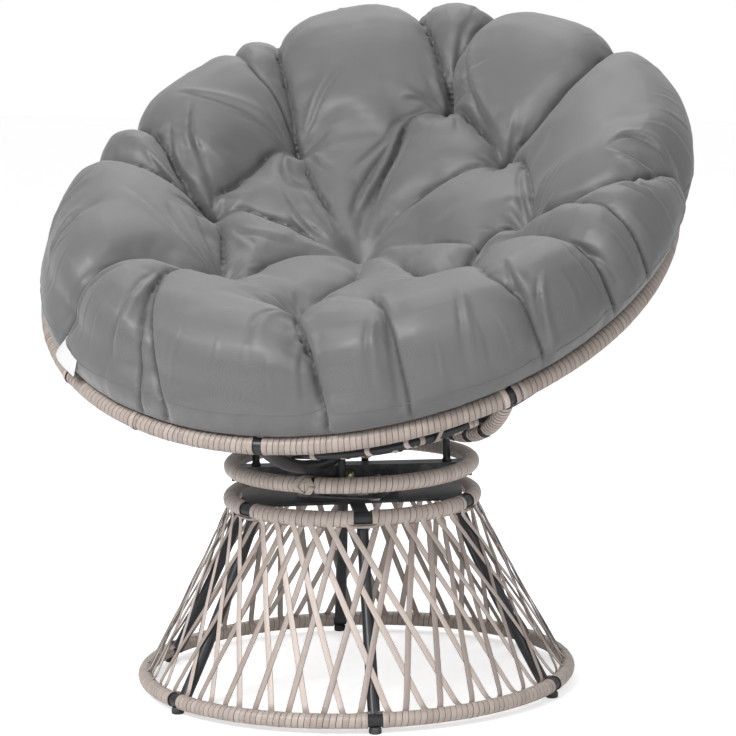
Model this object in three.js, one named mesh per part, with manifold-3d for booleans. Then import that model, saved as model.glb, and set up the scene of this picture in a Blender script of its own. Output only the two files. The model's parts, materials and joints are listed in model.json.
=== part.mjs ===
// Swivel papasan chair: a tilted round bowl of steel tube and flat wicker strip on a turning ring,
// a laced conical base on six legs, and one tufted round cushion.
// Millimetres, +Z up. The bowl opens towards -Y and the seat turns about a vertical axis.
import * as THREE from "three";
import { mergeVertices } from "three/addons/utils/BufferGeometryUtils.js";
import Module from "manifold-3d";

const wasm = await Module();
wasm.setup();

// Clearances
const seatGap = 0.35; // between pieces that touch
const stripGap = 0.9; // between a strip and what it lies on
const cutOverrun = 4; // how far a cutter passes through
const gapSearch = 3; // gaps up to this are measured

// Legs and feet
const legCount = 6;
const firstLegDegrees = 24.7; // from the front, towards +X
const legTopRadius = 8.3;
const legFootRadius = 8.8;
const legInset = 9.8; // the leg's line lies this far inside the line between the two rings
const legBow = 4; // towards the axis at mid height
const legTopDrop = 1.7; // below the middle of the top ring
const legFootRise = 1.2; // above the middle of the floor ring
const legSteps = 5;
const footRadius = 9;
const footTopRadius = 7;
const footBevel = 1;

// Floor ring
const floorRingRadius = 310;
const floorRingHeight = 18.3;
const floorTubeRadius = 9.3;
const floorWrapRadius = 10.8;
const floorBand = 19.6; // bare tube left at each leg

// Top ring of the base
const topRingRadius = 177;
const topRingHeight = 276.5;
const topTubeRadius = 10.2;
const topWrapRadius = 11.7;
const topBand = 24;

// Lacing of the base: one strand that zigzags between the two rings
const laceWidth = 6.5;
const laceThickness = 1.2;
const lacesPerLeg = 6;
const laceLoopSteps = 5;
const laceLoopDegrees = 270;
const laceTopMarginDegrees = 8.5; // from a leg to the first loop on the top ring
const laceTopAdvanceDegrees = 2.5; // half of what a loop travels along the top ring
const laceFloorMarginDegrees = 6;
const laceFloorAdvanceDegrees = 2.4;
const laceDownLoops = 3; // loops passed on the way down
const laceUpLoops = 2; // loops passed on the way up

// Base plate, a star that reaches the six bare bands of the top ring
const plateThickness = 4;
const basePlateRise = 6; // of its top over the middle of the top ring
const basePlateTop = topRingHeight + basePlateRise;
const plateEdgeInset = 16.5; // from the middle of the top ring
const plateEdgeRadius = topRingRadius - plateEdgeInset;
const plateTabWidth = 20;
const plateArmWidth = 21;
const spokeShare = 0.6; // of the reach, from the tip inwards

// Turning bearing between the base plate and the seat plate
const bearingPlateSide = 128;
const bearingPlateThickness = 2.5;
const bearingHeight = 16.8; // from the base plate to the seat plate
const raceRadius = 46;
const bearingCorner = 5;
const trackWidth = 13; // of the ring track that holds the balls
const trackBevel = 2;
const trackGap = 0.6; // between the two halves of the track
const boltRadius = 6;
const boltHeadRadius = 9.5;
const boltHeadHeight = 6.4;
const nutHeight = 8;
const washerHeight = 1.5;
const washerShare = 1.2; // of the bolt head

// Seat plate and crossbar
const seatPlateSide = 136;
const seatPlateCorner = 12;
const crossbarDegrees = 20.5; // the crossbar's direction, from +X towards +Y
const crossbarWidth = 30;
const crossbarHeight = 20;
const crossbarWall = 2.5;

// Turning ring
const turnRingRadius = 175;
const turnRingRise = 41.7; // of its middle over the base plate
const turnRingHeight = basePlateTop + turnRingRise;
const turnTubeRadius = 10.1;
const turnWrapRadius = 11.6;
const turnRingJointDegrees = -35; // where the two ends of its wrap meet
const turnRingJointGap = 1.2;

// Posts that carry the bowl
const postRadius = 5.5;
const sidePostReach = 139; // along the crossbar
const sidePosts = { right: [sidePostReach, 0], left: [-sidePostReach, 17] }; // and past the bowl's sphere
const middlePosts = { front: [0, -40], back: [0, 58] };

// Bowl
const bowlTiltDegrees = 27.9;
const bowlBack = 47; // the rim's centre lies this far behind the turning axis
const bowlRise = 20.2; // of its sphere's lowest point over the middle of the turning ring
const rimRadius = 459.7;
const rimTubeRadius = 11.1;
const rimWrapRadius = 12.6;
const rimBand = 12;
const bowlDepth = 250;
const ribDegrees = [0, 44, 135, 180, 225, 314];
const wrappedRibs = [1, 5];
const ribTubeRadius = 9.5;
const ribWrapRadius = 11;
const ribSteps = 9;
const ribWrapTop = 26; // along the rib, from the rim's centre to the wrap's end
const ribWrapFoot = 34; // along the rib, from its lower end to the wrap's end
const upperHoopShare = 0.7788; // of the rim's radius
const middleHoopShare = 0.6461;
const lowerHoopShare = 0.5286;
const hoopShares = { upper: upperHoopShare, middle: middleHoopShare, lower: lowerHoopShare };
const hoopTubeRadius = 5.5;
const hubRadius = 100;
const hubTubeRadius = 8;
const ribFootInset = 13; // the ribs end just inside the hub ring, which rests on them
const ribFootRadius = hubRadius - ribFootInset;

// Lacing of the bowl
const webWidth = 6.5;
const webThickness = 1.2;
const webLayerGap = 0.9; // between the two layers of strips
const webSpacingDegrees = 13.8;
const webAdvanceDegrees = 1.2;
const hubMarginDegrees = 13; // from a rib to the first loop on the hub ring
const hubAdvanceDegrees = 2.6;
const webReachShare = 0.9; // of the hub ring: how close a strip's line would come to the bowl's middle
const rimLoopSteps = 3;
const hubLoopSteps = 4;
const webDownLoops = 3; // loops passed between the rim and the hub
const webUpLoops = 4; // loops passed between the hub and the rim

// Cushion
const cushionOverhang = 14.3; // of its widest line past the middle of the rim's tube
const cushionRadius = rimRadius + cushionOverhang;
const cushionHeight = 150; // of its highest lobes over the rim's plane
const cushionShift = [26, 19]; // towards +X and uphill, in the plane of the rim
const cushionRaise = 31.95; // of its underside over the bowl's sphere
const cushionLipRise = 4.4; // of its lip over the rim's wicker
const cushionColumns = 64;
const middleTuftShare = [-0.004, 0.011]; // of the cushion's radius, +X and uphill in the rim's plane
const ringTuftShares = [
  [0.559, 0.006],
  [0.439, -0.3],
  [0, -0.517],
  [-0.319, -0.316],
  [-0.468, 0.032],
  [-0.306, 0.401],
  [0.139, 0.612],
  [0.386, 0.376],
];
const tuftWidth = 44;
const middleTuftDepth = 74;
const ringTuftDepth = 58;
const creaseWidth = 30;
const outerCreaseDepth = 34;
const innerCreaseDepth = 22;
const outerCreaseLength = 260; // from a tuft towards the edge
const sideCreaseDepth = 9;
// Distances from the cushion's middle are shares of its radius, heights are shares of its height
const cushionDomeShares = [
  [0, 0.227],
  [0.27, 0.413],
  [0.532, 0.693],
  [0.696, 0.893],
  [0.844, 1],
  [0.945, 0.88],
  [1, 0.56],
];
const cushionTopShares = [0.101, 0.211, 0.316, 0.426, 0.532, 0.633, 0.738, 0.844, 0.92, 0.975];
const cushionSideShares = [
  [1, 0.56],
  [1.004, 0.373],
  [0.983, 0.187],
  [0.949, 0.117],
];
const cushionTuckShares = [0.93, 0.1];
const cushionFootShares = [0.897, 0.717, 0.506, 0.274];

// Facets
const tubeSides = 8;
const thinSides = 6;
const floorRingStepDegrees = 11.4;
const topRingStepDegrees = 13.2;
const trackSteps = 24;
const rimStepDegrees = 10.2;
const turnRingSteps = 26;
const hoopSteps = 36;
const hubSteps = 24;
const roundSteps = 20;
const smallRoundSteps = 12; // feet, posts and the bolt's shank
const washerSteps = 16;
const hexSides = 6;
const arcSteps = 8; // in a plate's curved edge

const fullTurn = 2 * Math.PI;
const half = 0.5;
// From a facetted tube's middle to a flat, as a share of its radius
const flatShare = Math.cos(fullTurn / 2 / tubeSides);
const thinShare = Math.cos(fullTurn / 2 / thinSides);

// Finishes
const steel = new THREE.MeshStandardMaterial({ color: 0x2b2d30, roughness: 0.45, metalness: 0.6 });
const wicker = new THREE.MeshStandardMaterial({ color: 0xa8998f, roughness: 0.55, metalness: 0 });
const zinc = new THREE.MeshStandardMaterial({ color: 0xc9c08e, roughness: 0.35, metalness: 0.9 });
const rubber = new THREE.MeshStandardMaterial({ color: 0x17181a, roughness: 0.7, metalness: 0 });
const fabric = new THREE.MeshStandardMaterial({ color: 0x7b7d7e, roughness: 0.5, metalness: 0 });

const radians = THREE.MathUtils.degToRad;
const up = new THREE.Vector3(0, 0, 1);

/** A point at a distance from the Z axis, at an angle from the front (-Y) towards +X. */
function around(radius, angle, height) {
  return new THREE.Vector3(radius * Math.sin(angle), -radius * Math.cos(angle), height);
}

/** The direction along a ring, towards a growing angle. */
function along(angle) {
  return new THREE.Vector3(Math.cos(angle), Math.sin(angle), 0);
}

/** The geometry with its faces turned out. */
function facingOut(geometry) {
  const place = geometry.getAttribute("position");
  const index = geometry.index.array;
  const corner = [0, 1, 2].map(() => new THREE.Vector3());
  let volume = 0;
  for (let i = 0; i < index.length; i += 3) {
    corner.forEach((c, k) => c.fromBufferAttribute(place, index[i + k]));
    volume += corner[0].dot(corner[1].clone().cross(corner[2]));
  }
  if (volume < 0) {
    for (let i = 0; i < index.length; i += 3) {
      const kept = index[i + 1];
      index[i + 1] = index[i + 2];
      index[i + 2] = kept;
    }
  }
  return geometry;
}

/** A geometry from shared points and triangles. */
function facets(points, faces) {
  const geometry = new THREE.BufferGeometry();
  const places = points.flatMap((p) => [p.x, p.y, p.z]);
  geometry.setAttribute("position", new THREE.Float32BufferAttribute(places, 3));
  geometry.setIndex(faces);
  return facingOut(geometry);
}

/** A loft through sections of the same number of points, closed on itself or capped at both ends. */
function loft(sections, closed) {
  const sides = sections[0].length;
  const count = sections.length;
  const faces = [];
  for (let i = 0; i < (closed ? count : count - 1); i++) {
    for (let j = 0; j < sides; j++) {
      const a = i * sides + j;
      const b = i * sides + ((j + 1) % sides);
      const c = ((i + 1) % count) * sides + ((j + 1) % sides);
      const d = ((i + 1) % count) * sides + j;
      faces.push(a, b, c, a, c, d);
    }
  }
  if (!closed) {
    const last = (count - 1) * sides;
    for (let j = 1; j < sides - 1; j++) {
      faces.push(0, j + 1, j, last, last + j, last + j + 1);
    }
  }
  return facets(sections.flat(), faces);
}

/** Round sections along a flat path; sideways is the normal of the path's plane, one or one a point. */
function roundSections(path, radiusAt, sides, sideways, ring = false) {
  const count = path.length;
  return path.map((p, i) => {
    const before = ring ? path[(i + count - 1) % count] : path[Math.max(i - 1, 0)];
    const after = ring ? path[(i + 1) % count] : path[Math.min(i + 1, count - 1)];
    const forward = after.clone().sub(before).normalize();
    const across = sideways.clone().cross(forward).normalize();
    const radius = radiusAt(i / (count - 1));
    return Array.from({ length: sides }, (_, j) => {
      const turn = (fullTurn * (j + half)) / sides;
      const point = p.clone().addScaledVector(sideways, radius * Math.cos(turn));
      return point.addScaledVector(across, radius * Math.sin(turn));
    });
  });
}

/** Round sections square to a ring about Z, at the given angles. */
function ringSections(ringRadius, height, radius, sides, angles) {
  return angles.map((angle) =>
    Array.from({ length: sides }, (_, j) => {
      const turn = (fullTurn * (j + half)) / sides;
      return around(ringRadius + radius * Math.cos(turn), angle, height + radius * Math.sin(turn));
    }),
  );
}

/** A closed ring of tube about Z. */
function ringTube(ringRadius, height, radius, sides, angles) {
  return loft(ringSections(ringRadius, height, radius, sides, angles), true);
}

/** A sleeve about an arc of a ring, open at both ends. */
function ringSleeve(ringRadius, height, inner, outer, angles) {
  const outside = ringSections(ringRadius, height, outer, tubeSides, angles);
  const inside = ringSections(ringRadius, height, inner, tubeSides, angles);
  return loft([...outside, ...inside.reverse()], true);
}

/** How far in a ring's straight facets lie at an angle, as a share of its radius. */
function facetShare(angles, angle) {
  const turn = angles[0] + THREE.MathUtils.euclideanModulo(angle - angles[0], fullTurn);
  const found = angles.findIndex((a) => a > turn);
  const next = found < 0 ? angles.length : found;
  const after = found < 0 ? angles[0] + fullTurn : angles[found];
  const reach = (after - angles[next - 1]) / 2;
  return Math.cos(reach) / Math.cos(turn - after + reach);
}

/** Equal steps from one angle to another, both included. */
function angleSteps(from, to, steps) {
  return Array.from({ length: steps + 1 }, (_, i) => from + ((to - from) * i) / steps);
}

/** For each stretch of wrap between two bare bands, the angles along it. */
function wrapAngles(centres, band, ringRadius, stepDegrees) {
  return centres.map((centre, i) => {
    const next = i + 1 < centres.length ? centres[i + 1] : centres[0] + fullTurn;
    const margin = (band * half) / ringRadius;
    const span = next - centre - 2 * margin;
    return angleSteps(centre + margin, next - margin, Math.round(span / radians(stepDegrees)));
  });
}

/** A solid for cutting and joining. */
function solid(geometry) {
  const bare = geometry.clone();
  bare.deleteAttribute("normal");
  bare.deleteAttribute("uv");
  const merged = mergeVertices(bare);
  const mesh = new wasm.Mesh({
    numProp: 3,
    vertProperties: merged.getAttribute("position").array,
    triVerts: new Uint32Array(merged.index.array),
  });
  return new wasm.Manifold(mesh);
}

/** The geometry of a solid. */
function geometryOf(shape) {
  const mesh = shape.getMesh();
  const geometry = new THREE.BufferGeometry();
  geometry.setAttribute("position", new THREE.BufferAttribute(mesh.vertProperties.slice(), 3));
  geometry.setIndex(new THREE.BufferAttribute(mesh.triVerts.slice(), 1));
  return geometry;
}

/** The geometry less its cutters; only the largest body is kept. */
function cut(geometry, ...cutters) {
  let left = solid(geometry);
  for (const cutter of cutters) {
    left = left.subtract(solid(cutter));
  }
  const bodies = left.decompose().sort((a, b) => b.volume() - a.volume());
  return geometryOf(bodies[0]);
}

/** Several geometries joined into one body. */
function join(first, ...rest) {
  return geometryOf(rest.reduce((sum, geometry) => sum.add(solid(geometry)), solid(first)));
}

/** An upright round bar between two heights. */
function bar(radius, low, high, sides = roundSteps) {
  const height = high - low;
  return new THREE.CylinderGeometry(radius, radius, height, sides)
    .rotateX(fullTurn / 4)
    .translate(0, 0, low + height / 2);
}

/** A flat plate from an outline, between two heights. */
function plate(shape, low, high) {
  return new THREE.ExtrudeGeometry(shape, { depth: high - low, bevelEnabled: false, curveSegments: arcSteps })
    .translate(0, 0, low);
}

/** A square outline with cut corners and an optional round hole. */
function squareShape(side, corner, hole = 0) {
  const reach = side / 2;
  const near = reach - corner;
  const places = [[near, -reach], [reach, -near], [reach, near], [near, reach]];
  const mirrored = [[-near, reach], [-reach, near], [-reach, -near], [-near, -reach]];
  const shape = new THREE.Shape([...places, ...mirrored].map(([x, y]) => new THREE.Vector2(x, y)));
  if (hole > 0) {
    shape.holes.push(new THREE.Path().absarc(0, 0, hole, 0, fullTurn, true));
  }
  return shape;
}

/** A named mesh. */
function piece(name, geometry, material) {
  const mesh = new THREE.Mesh(geometry, material);
  mesh.name = name;
  return mesh;
}

const legAngles = Array.from({ length: legCount }, (_, i) => {
  return radians(firstLegDegrees) + (fullTurn * i) / legCount;
});
const floorWraps = wrapAngles(legAngles, floorBand, floorRingRadius, floorRingStepDegrees);
const topWraps = wrapAngles(legAngles, topBand, topRingRadius, topRingStepDegrees);

const floorRing = { radius: floorRingRadius, height: floorRingHeight, angles: floorWraps.flat() };
const topRing = { radius: topRingRadius, height: topRingHeight, angles: topWraps.flat() };

// The line from the top ring's middle down to the floor ring's middle, in a plane through the axis
const coneLine = new THREE.Vector2(
  floorRingRadius - topRingRadius,
  floorRingHeight - topRingHeight,
).normalize();
const coneOut = new THREE.Vector2(-coneLine.y, coneLine.x);
const coneTurn = Math.atan2(coneOut.y, coneOut.x);

/** The path of a leg, inside the line between the rings and bowed a little inwards. */
function legPath(angle) {
  const drop = legTopDrop / -coneLine.y;
  const rise = legFootRise / -coneLine.y;
  const from = new THREE.Vector2(topRingRadius, topRingHeight)
    .addScaledVector(coneOut, -legInset)
    .addScaledVector(coneLine, drop - legInset * (coneOut.y / -coneLine.y));
  const to = new THREE.Vector2(floorRingRadius, floorRingHeight)
    .addScaledVector(coneOut, -legInset)
    .addScaledVector(coneLine, -rise - legInset * (coneOut.y / -coneLine.y));
  return Array.from({ length: legSteps + 1 }, (_, i) => {
    const share = i / legSteps;
    const bow = 4 * legBow * share * (1 - share);
    const place = from.clone().lerp(to, share).addScaledVector(coneOut, -bow);
    return around(place.x, angle, place.y);
  });
}

/** A tapered leg, coped round both rings. */
function legGeometry(angle) {
  const radiusAt = (share) => THREE.MathUtils.lerp(legTopRadius, legFootRadius, share);
  const tube = loft(roundSections(legPath(angle), radiusAt, tubeSides, along(angle)), false);
  const cope = (ring, radius) =>
    ringTube(ring.radius, ring.height, radius + seatGap, tubeSides, ring.angles);
  return cut(tube, cope(topRing, topTubeRadius), cope(floorRing, floorTubeRadius));
}

/** A glide under the floor ring at a leg. */
function footGeometry(angle) {
  const top = floorRingHeight - floorTubeRadius * flatShare - seatGap;
  const profile = [
    [0, 0],
    [footRadius - footBevel, 0],
    [footRadius, footBevel],
    [footRadius, top - 2 * footBevel],
    [footTopRadius, top],
    [0, top],
  ];
  const place = around(floorRingRadius, angle, 0);
  return new THREE.LatheGeometry(profile.map(([r, z]) => new THREE.Vector2(r, z)), smallRoundSteps)
    .rotateX(fullTurn / 4)
    .translate(place.x, place.y, place.z);
}

/** The middle of a loop of the base lacing, by its number round the ring. */
function loopAngle(number, marginDegrees) {
  const sector = Math.floor(number / lacesPerLeg);
  const share = (number - sector * lacesPerLeg) / (lacesPerLeg - 1);
  const sectorDegrees = 360 / legCount;
  const inside = marginDegrees + share * (sectorDegrees - 2 * marginDegrees);
  return radians(firstLegDegrees + sector * sectorDegrees + inside);
}

/** The points of one loop round a ring's tube: place, and the direction of the strip's face. */
function loopPoints(ring, radius, from, turns, middle, advance, steps) {
  return Array.from({ length: steps + 1 }, (_, i) => {
    const share = i / steps;
    const turn = from + turns * share;
    const angle = middle + advance * (2 * share - 1);
    const outwards = around(Math.cos(turn), angle, Math.sin(turn));
    const centre = around(ring.radius * facetShare(ring.angles, angle), angle, ring.height);
    return { place: centre.addScaledVector(outwards, radius), face: outwards };
  });
}

/** A flat strip along points; at a fold the face swings on by a quarter turn. */
function stripSections(points, width, thickness) {
  const count = points.length;
  return points.map(({ place, face, fold }, i) => {
    const before = place.clone().sub(points[(i + count - 1) % count].place).normalize();
    const after = points[(i + 1) % count].place.clone().sub(place).normalize();
    const forward = before.clone().add(after).normalize();
    const facing = fold ? face.clone().add(fold).normalize() : face;
    const across = forward.clone().cross(facing).normalize();
    const normal = across.clone().cross(forward).normalize();
    const mitre = Math.min(1 / forward.dot(after), Math.SQRT2);
    const rows = [[-1, -1], [1, -1], [1, 1], [-1, 1]];
    return rows.map(([side, layer]) =>
      place
        .clone()
        .addScaledVector(across, (side * width) / 2)
        .addScaledVector(normal, (layer * mitre * thickness) / 2),
    );
  });
}

/** All points of the base lacing, from the first loop on the top ring round to it again. */
function baseLacingPoints() {
  const count = legCount * lacesPerLeg;
  const stepShare = Math.cos(radians(laceLoopDegrees) / laceLoopSteps / 2);
  const loopRadius = (wrap) => (wrap + stripGap + laceThickness / 2) / stepShare;
  const topRadius = loopRadius(topWrapRadius);
  const floorRadius = loopRadius(floorWrapRadius);
  const turns = -radians(laceLoopDegrees);
  const points = [];
  for (let i = 0; i < count; i++) {
    const number = i * (laceDownLoops + laceUpLoops);
    const topAngle = loopAngle(number, laceTopMarginDegrees);
    const floorAngle = loopAngle(number + laceDownLoops, laceFloorMarginDegrees);
    const topAdvance = radians(laceTopAdvanceDegrees);
    const floorAdvance = radians(laceFloorAdvanceDegrees);
    const top = loopPoints(
      topRing, topRadius, coneTurn - turns, turns, topAngle, topAdvance, laceLoopSteps,
    );
    const floor = loopPoints(
      floorRing, floorRadius, coneTurn, turns, floorAngle, floorAdvance, laceLoopSteps,
    );
    const inwards = (angle) => around(-coneOut.x, angle, -coneOut.y);
    top[0].fold = inwards(topAngle);
    floor[laceLoopSteps].fold = inwards(floorAngle);
    points.push(...top, ...floor);
  }
  return points;
}

/** The least gap between stretches of a strand that don't follow each other. */
function leastGap(sections) {
  const count = sections.length;
  const stretches = sections.map((section, i) => {
    const shape = solid(loft([section, sections[(i + 1) % count]], false));
    const box = new THREE.Box3().setFromPoints([...section, ...sections[(i + 1) % count]]);
    return { shape, box: box.expandByScalar(gapSearch / 2) };
  });
  let least = gapSearch;
  stretches.forEach((a, i) => {
    for (let k = i + 2; k < count; k++) {
      if (count + i - k > 1 && a.box.intersectsBox(stretches[k].box)) {
        least = Math.min(least, a.shape.minGap(stretches[k].shape, gapSearch));
      }
    }
  });
  return least;
}

/** The star-shaped base plate: two curved ends, four tabs and two arms, each tip at a leg. */
function basePlateGeometry() {
  const low = basePlateTop - plateThickness;
  const tip = topRingRadius - topTubeRadius - seatGap;
  const endTurn = fullTurn / legCount / 2;
  const reachX = plateEdgeRadius * Math.cos(endTurn);
  const reachY = plateEdgeRadius * Math.sin(endTurn);
  const shape = new THREE.Shape();
  shape.moveTo(reachX, -reachY);
  shape.absarc(0, 0, plateEdgeRadius, -endTurn, endTurn, false);
  shape.lineTo(-reachX, reachY);
  shape.absarc(0, 0, plateEdgeRadius, fullTurn / 2 - endTurn, fullTurn / 2 + endTurn, false);
  shape.holes.push(new THREE.Path().absarc(0, 0, boltRadius + 2 * seatGap, 0, fullTurn, true));
  const body = plate(shape, low, basePlateTop);
  const spoke = (width, turn) => {
    const length = tip * spokeShare;
    const blank = new THREE.BoxGeometry(length, width, plateThickness);
    return blank.translate(tip - length / 2, 0, low + plateThickness / 2).rotateZ(turn);
  };
  const tabs = [1, -1].flatMap((side) => [endTurn * side, fullTurn / 2 + endTurn * side]);
  const spokes = [
    ...tabs.map((turn) => spoke(plateTabWidth, turn)),
    ...[1, -1].map((side) => spoke(plateArmWidth, (side * fullTurn) / 4)),
  ];
  const limit = bar(tip, low - cutOverrun, basePlateTop + cutOverrun, 6 * tubeSides);
  const joined = solid(join(body, ...spokes)).intersect(solid(limit));
  return geometryOf(joined).rotateZ(legAngles[0]);
}

/** A bearing plate with a raised ring track that holds the balls. */
function bearingPlateGeometry(faceHeight, towards) {
  const away = faceHeight + towards * bearingPlateThickness;
  const low = Math.min(faceHeight, away);
  const hole = boltRadius + 2 * seatGap;
  const sheet = plate(squareShape(bearingPlateSide, bearingCorner, hole), low, low + bearingPlateThickness);
  const inner = raceRadius - trackWidth / 2;
  const outer = raceRadius + trackWidth / 2;
  const crest = basePlateTop + (bearingHeight - towards * trackGap) / 2;
  const root = away - towards * bearingPlateThickness * half;
  const profile = [
    [inner - trackBevel, root],
    [inner - trackBevel, away],
    [inner, crest],
    [outer, crest],
    [outer + trackBevel, away],
    [outer + trackBevel, root],
  ];
  const ring = profile.map(([r, z]) => new THREE.Vector2(r, z));
  const track = new THREE.LatheGeometry([...ring, ring[0]], trackSteps).rotateX(fullTurn / 4);
  return join(sheet, geometryFacingOut(track));
}

/** A revolved geometry with shared points and its faces out. */
function geometryFacingOut(geometry) {
  geometry.deleteAttribute("normal");
  geometry.deleteAttribute("uv");
  return facingOut(mergeVertices(geometry));
}

/** The pivot bolt: a head under the base plate, a shank through the stack, and its nut and washer. */
function pivotBoltGeometry(low, high) {
  const head = bar(boltHeadRadius, low - boltHeadHeight, low, hexSides);
  const shank = bar(boltRadius, low - footBevel, high + nutHeight, smallRoundSteps);
  const washer = bar(boltHeadRadius * washerShare, high, high + washerHeight, washerSteps);
  const nut = bar(boltHeadRadius, high + washerHeight / 2, high + nutHeight - footBevel, hexSides);
  return join(head, shank, washer, nut);
}

const jointMargin = turnRingJointGap / 2 / turnRingRadius;
const jointAngle = radians(turnRingJointDegrees);
const turnAngles = angleSteps(
  jointAngle + jointMargin, jointAngle + fullTurn - jointMargin, turnRingSteps,
);

/** The crossbar, a channel open below, its ends curved to the turning ring. */
function crossbarGeometry(low) {
  const reach = turnRingRadius;
  const outer = new THREE.BoxGeometry(2 * reach, crossbarWidth, crossbarHeight)
    .translate(0, 0, low + crossbarHeight / 2);
  const inner = new THREE.BoxGeometry(
    2 * reach + cutOverrun,
    crossbarWidth - 2 * crossbarWall,
    crossbarHeight,
  ).translate(0, 0, low + crossbarHeight / 2 - crossbarWall);
  const ring = ringTube(
    turnRingRadius, turnRingHeight, turnWrapRadius + seatGap, tubeSides, turnAngles,
  );
  return cut(geometryOf(solid(outer).subtract(solid(inner))).rotateZ(radians(crossbarDegrees)), ring);
}

// Bowl frame: its origin is the rim's centre, +Z points out of the bowl and -Y downhill
const sphereRadius = (rimRadius * rimRadius + bowlDepth * bowlDepth) / (2 * bowlDepth);
const sphereHeight = sphereRadius - bowlDepth;
const bowlTilt = radians(bowlTiltDegrees);
const rimHeight = turnRingHeight + bowlRise + sphereRadius - sphereHeight * Math.cos(bowlTilt);
const hoopSphere = sphereRadius - ribWrapRadius * flatShare - seatGap - hoopTubeRadius * thinShare;
const hubSphere = hoopSphere - hoopTubeRadius + hubTubeRadius;
const ribAngles = ribDegrees.map(radians);
const rimWraps = wrapAngles(ribAngles, rimBand, rimRadius, rimStepDegrees);
const rimSlope = Math.asin(rimRadius / sphereRadius);
const ribFootSlope = Math.asin(ribFootRadius / sphereRadius);
const wrapTopSlope = rimSlope - ribWrapTop / sphereRadius;
const wrapFootSlope = ribFootSlope + ribWrapFoot / sphereRadius;
const wrapSlopes = angleSteps(wrapTopSlope, wrapFootSlope, ribSteps);

/** Equal angles round a whole ring. */
function ringAngles(steps) {
  return Array.from({ length: steps }, (_, i) => (fullTurn * i) / steps);
}

/** The height in the bowl frame of a point of a sphere about the bowl's centre. */
function sphereDrop(sphere, radius) {
  return sphereHeight - Math.sqrt(sphere * sphere - radius * radius);
}

const rim = { radius: rimRadius, height: 0, angles: rimWraps.flat() };
const hub = { radius: hubRadius, height: sphereDrop(hubSphere, hubRadius), angles: ringAngles(hubSteps) };
const hoops = Object.entries(hoopShares).map(([name, share]) => {
  const radius = share * rimRadius;
  return { name, radius, height: sphereDrop(hoopSphere, radius), angles: ringAngles(hoopSteps) };
});

/** The path of a rib through points of the bowl's sphere at the given slopes. */
function ribPath(angle, slopes) {
  return slopes.map((slope) =>
    around(sphereRadius * Math.sin(slope), angle, sphereHeight - sphereRadius * Math.cos(slope)),
  );
}

/** A bowl rib, coped round the rim above and saddled under the hub ring. */
function ribGeometry(angle) {
  const path = ribPath(angle, [rimSlope, ...wrapSlopes, ribFootSlope]);
  const tube = loft(roundSections(path, () => ribTubeRadius, tubeSides, along(angle)), false);
  const cope = (ring, radius) =>
    ringTube(ring.radius, ring.height, radius + seatGap, tubeSides, ring.angles);
  return cut(tube, cope(rim, rimWrapRadius), cope(hub, hubTubeRadius));
}

/** The sleeve of wicker on a rib. */
function ribWrapGeometry(angle) {
  const path = ribPath(angle, wrapSlopes);
  const bore = ribTubeRadius + seatGap;
  const outside = roundSections(path, () => ribWrapRadius, tubeSides, along(angle));
  const inside = roundSections(path, () => bore, tubeSides, along(angle));
  return loft([...outside, ...inside.reverse()], true);
}

/** Loop middles spread between the ribs, the same number on every ring. */
function webLoopAngles(marginDegrees) {
  return ribAngles.flatMap((angle, i) => {
    const next = i + 1 < ribAngles.length ? ribAngles[i + 1] : ribAngles[0] + fullTurn;
    const count = Math.round((next - angle) / radians(webSpacingDegrees));
    const margin = marginDegrees ? radians(marginDegrees) : (next - angle) / count / 2;
    const span = next - angle - 2 * margin;
    return Array.from({ length: count }, (_, k) => angle + margin + (span * k) / (count - 1));
  });
}

/** Where a strip of the bowl's lacing lies on the hoops, from the rim inwards. */
function webRun(rimAngle, hubAngle, layer) {
  const depth = stripGap + webThickness * (half + layer) + layer * webLayerGap;
  const sphere = hoopSphere - hoopTubeRadius - depth;
  const turnAt = (radius) => Math.acos((webReachShare * hubRadius) / radius);
  const whole = turnAt(rimRadius) - turnAt(hubRadius);
  return hoops.map((hoop) => {
    const share = (turnAt(rimRadius) - turnAt(hoop.radius)) / whole;
    const angle = THREE.MathUtils.lerp(rimAngle, hubAngle, share);
    const radius = (hoop.radius * sphere) / hoopSphere;
    const height = sphereDrop(sphere, radius);
    const face = around(-radius, angle, sphereHeight - height).normalize();
    const sunk = hoop.radius * (facetShare(hoop.angles, angle) - 1);
    if (layer === 0) {
      face.negate();
    }
    return { place: around(radius + sunk, angle, height), face };
  });
}

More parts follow.
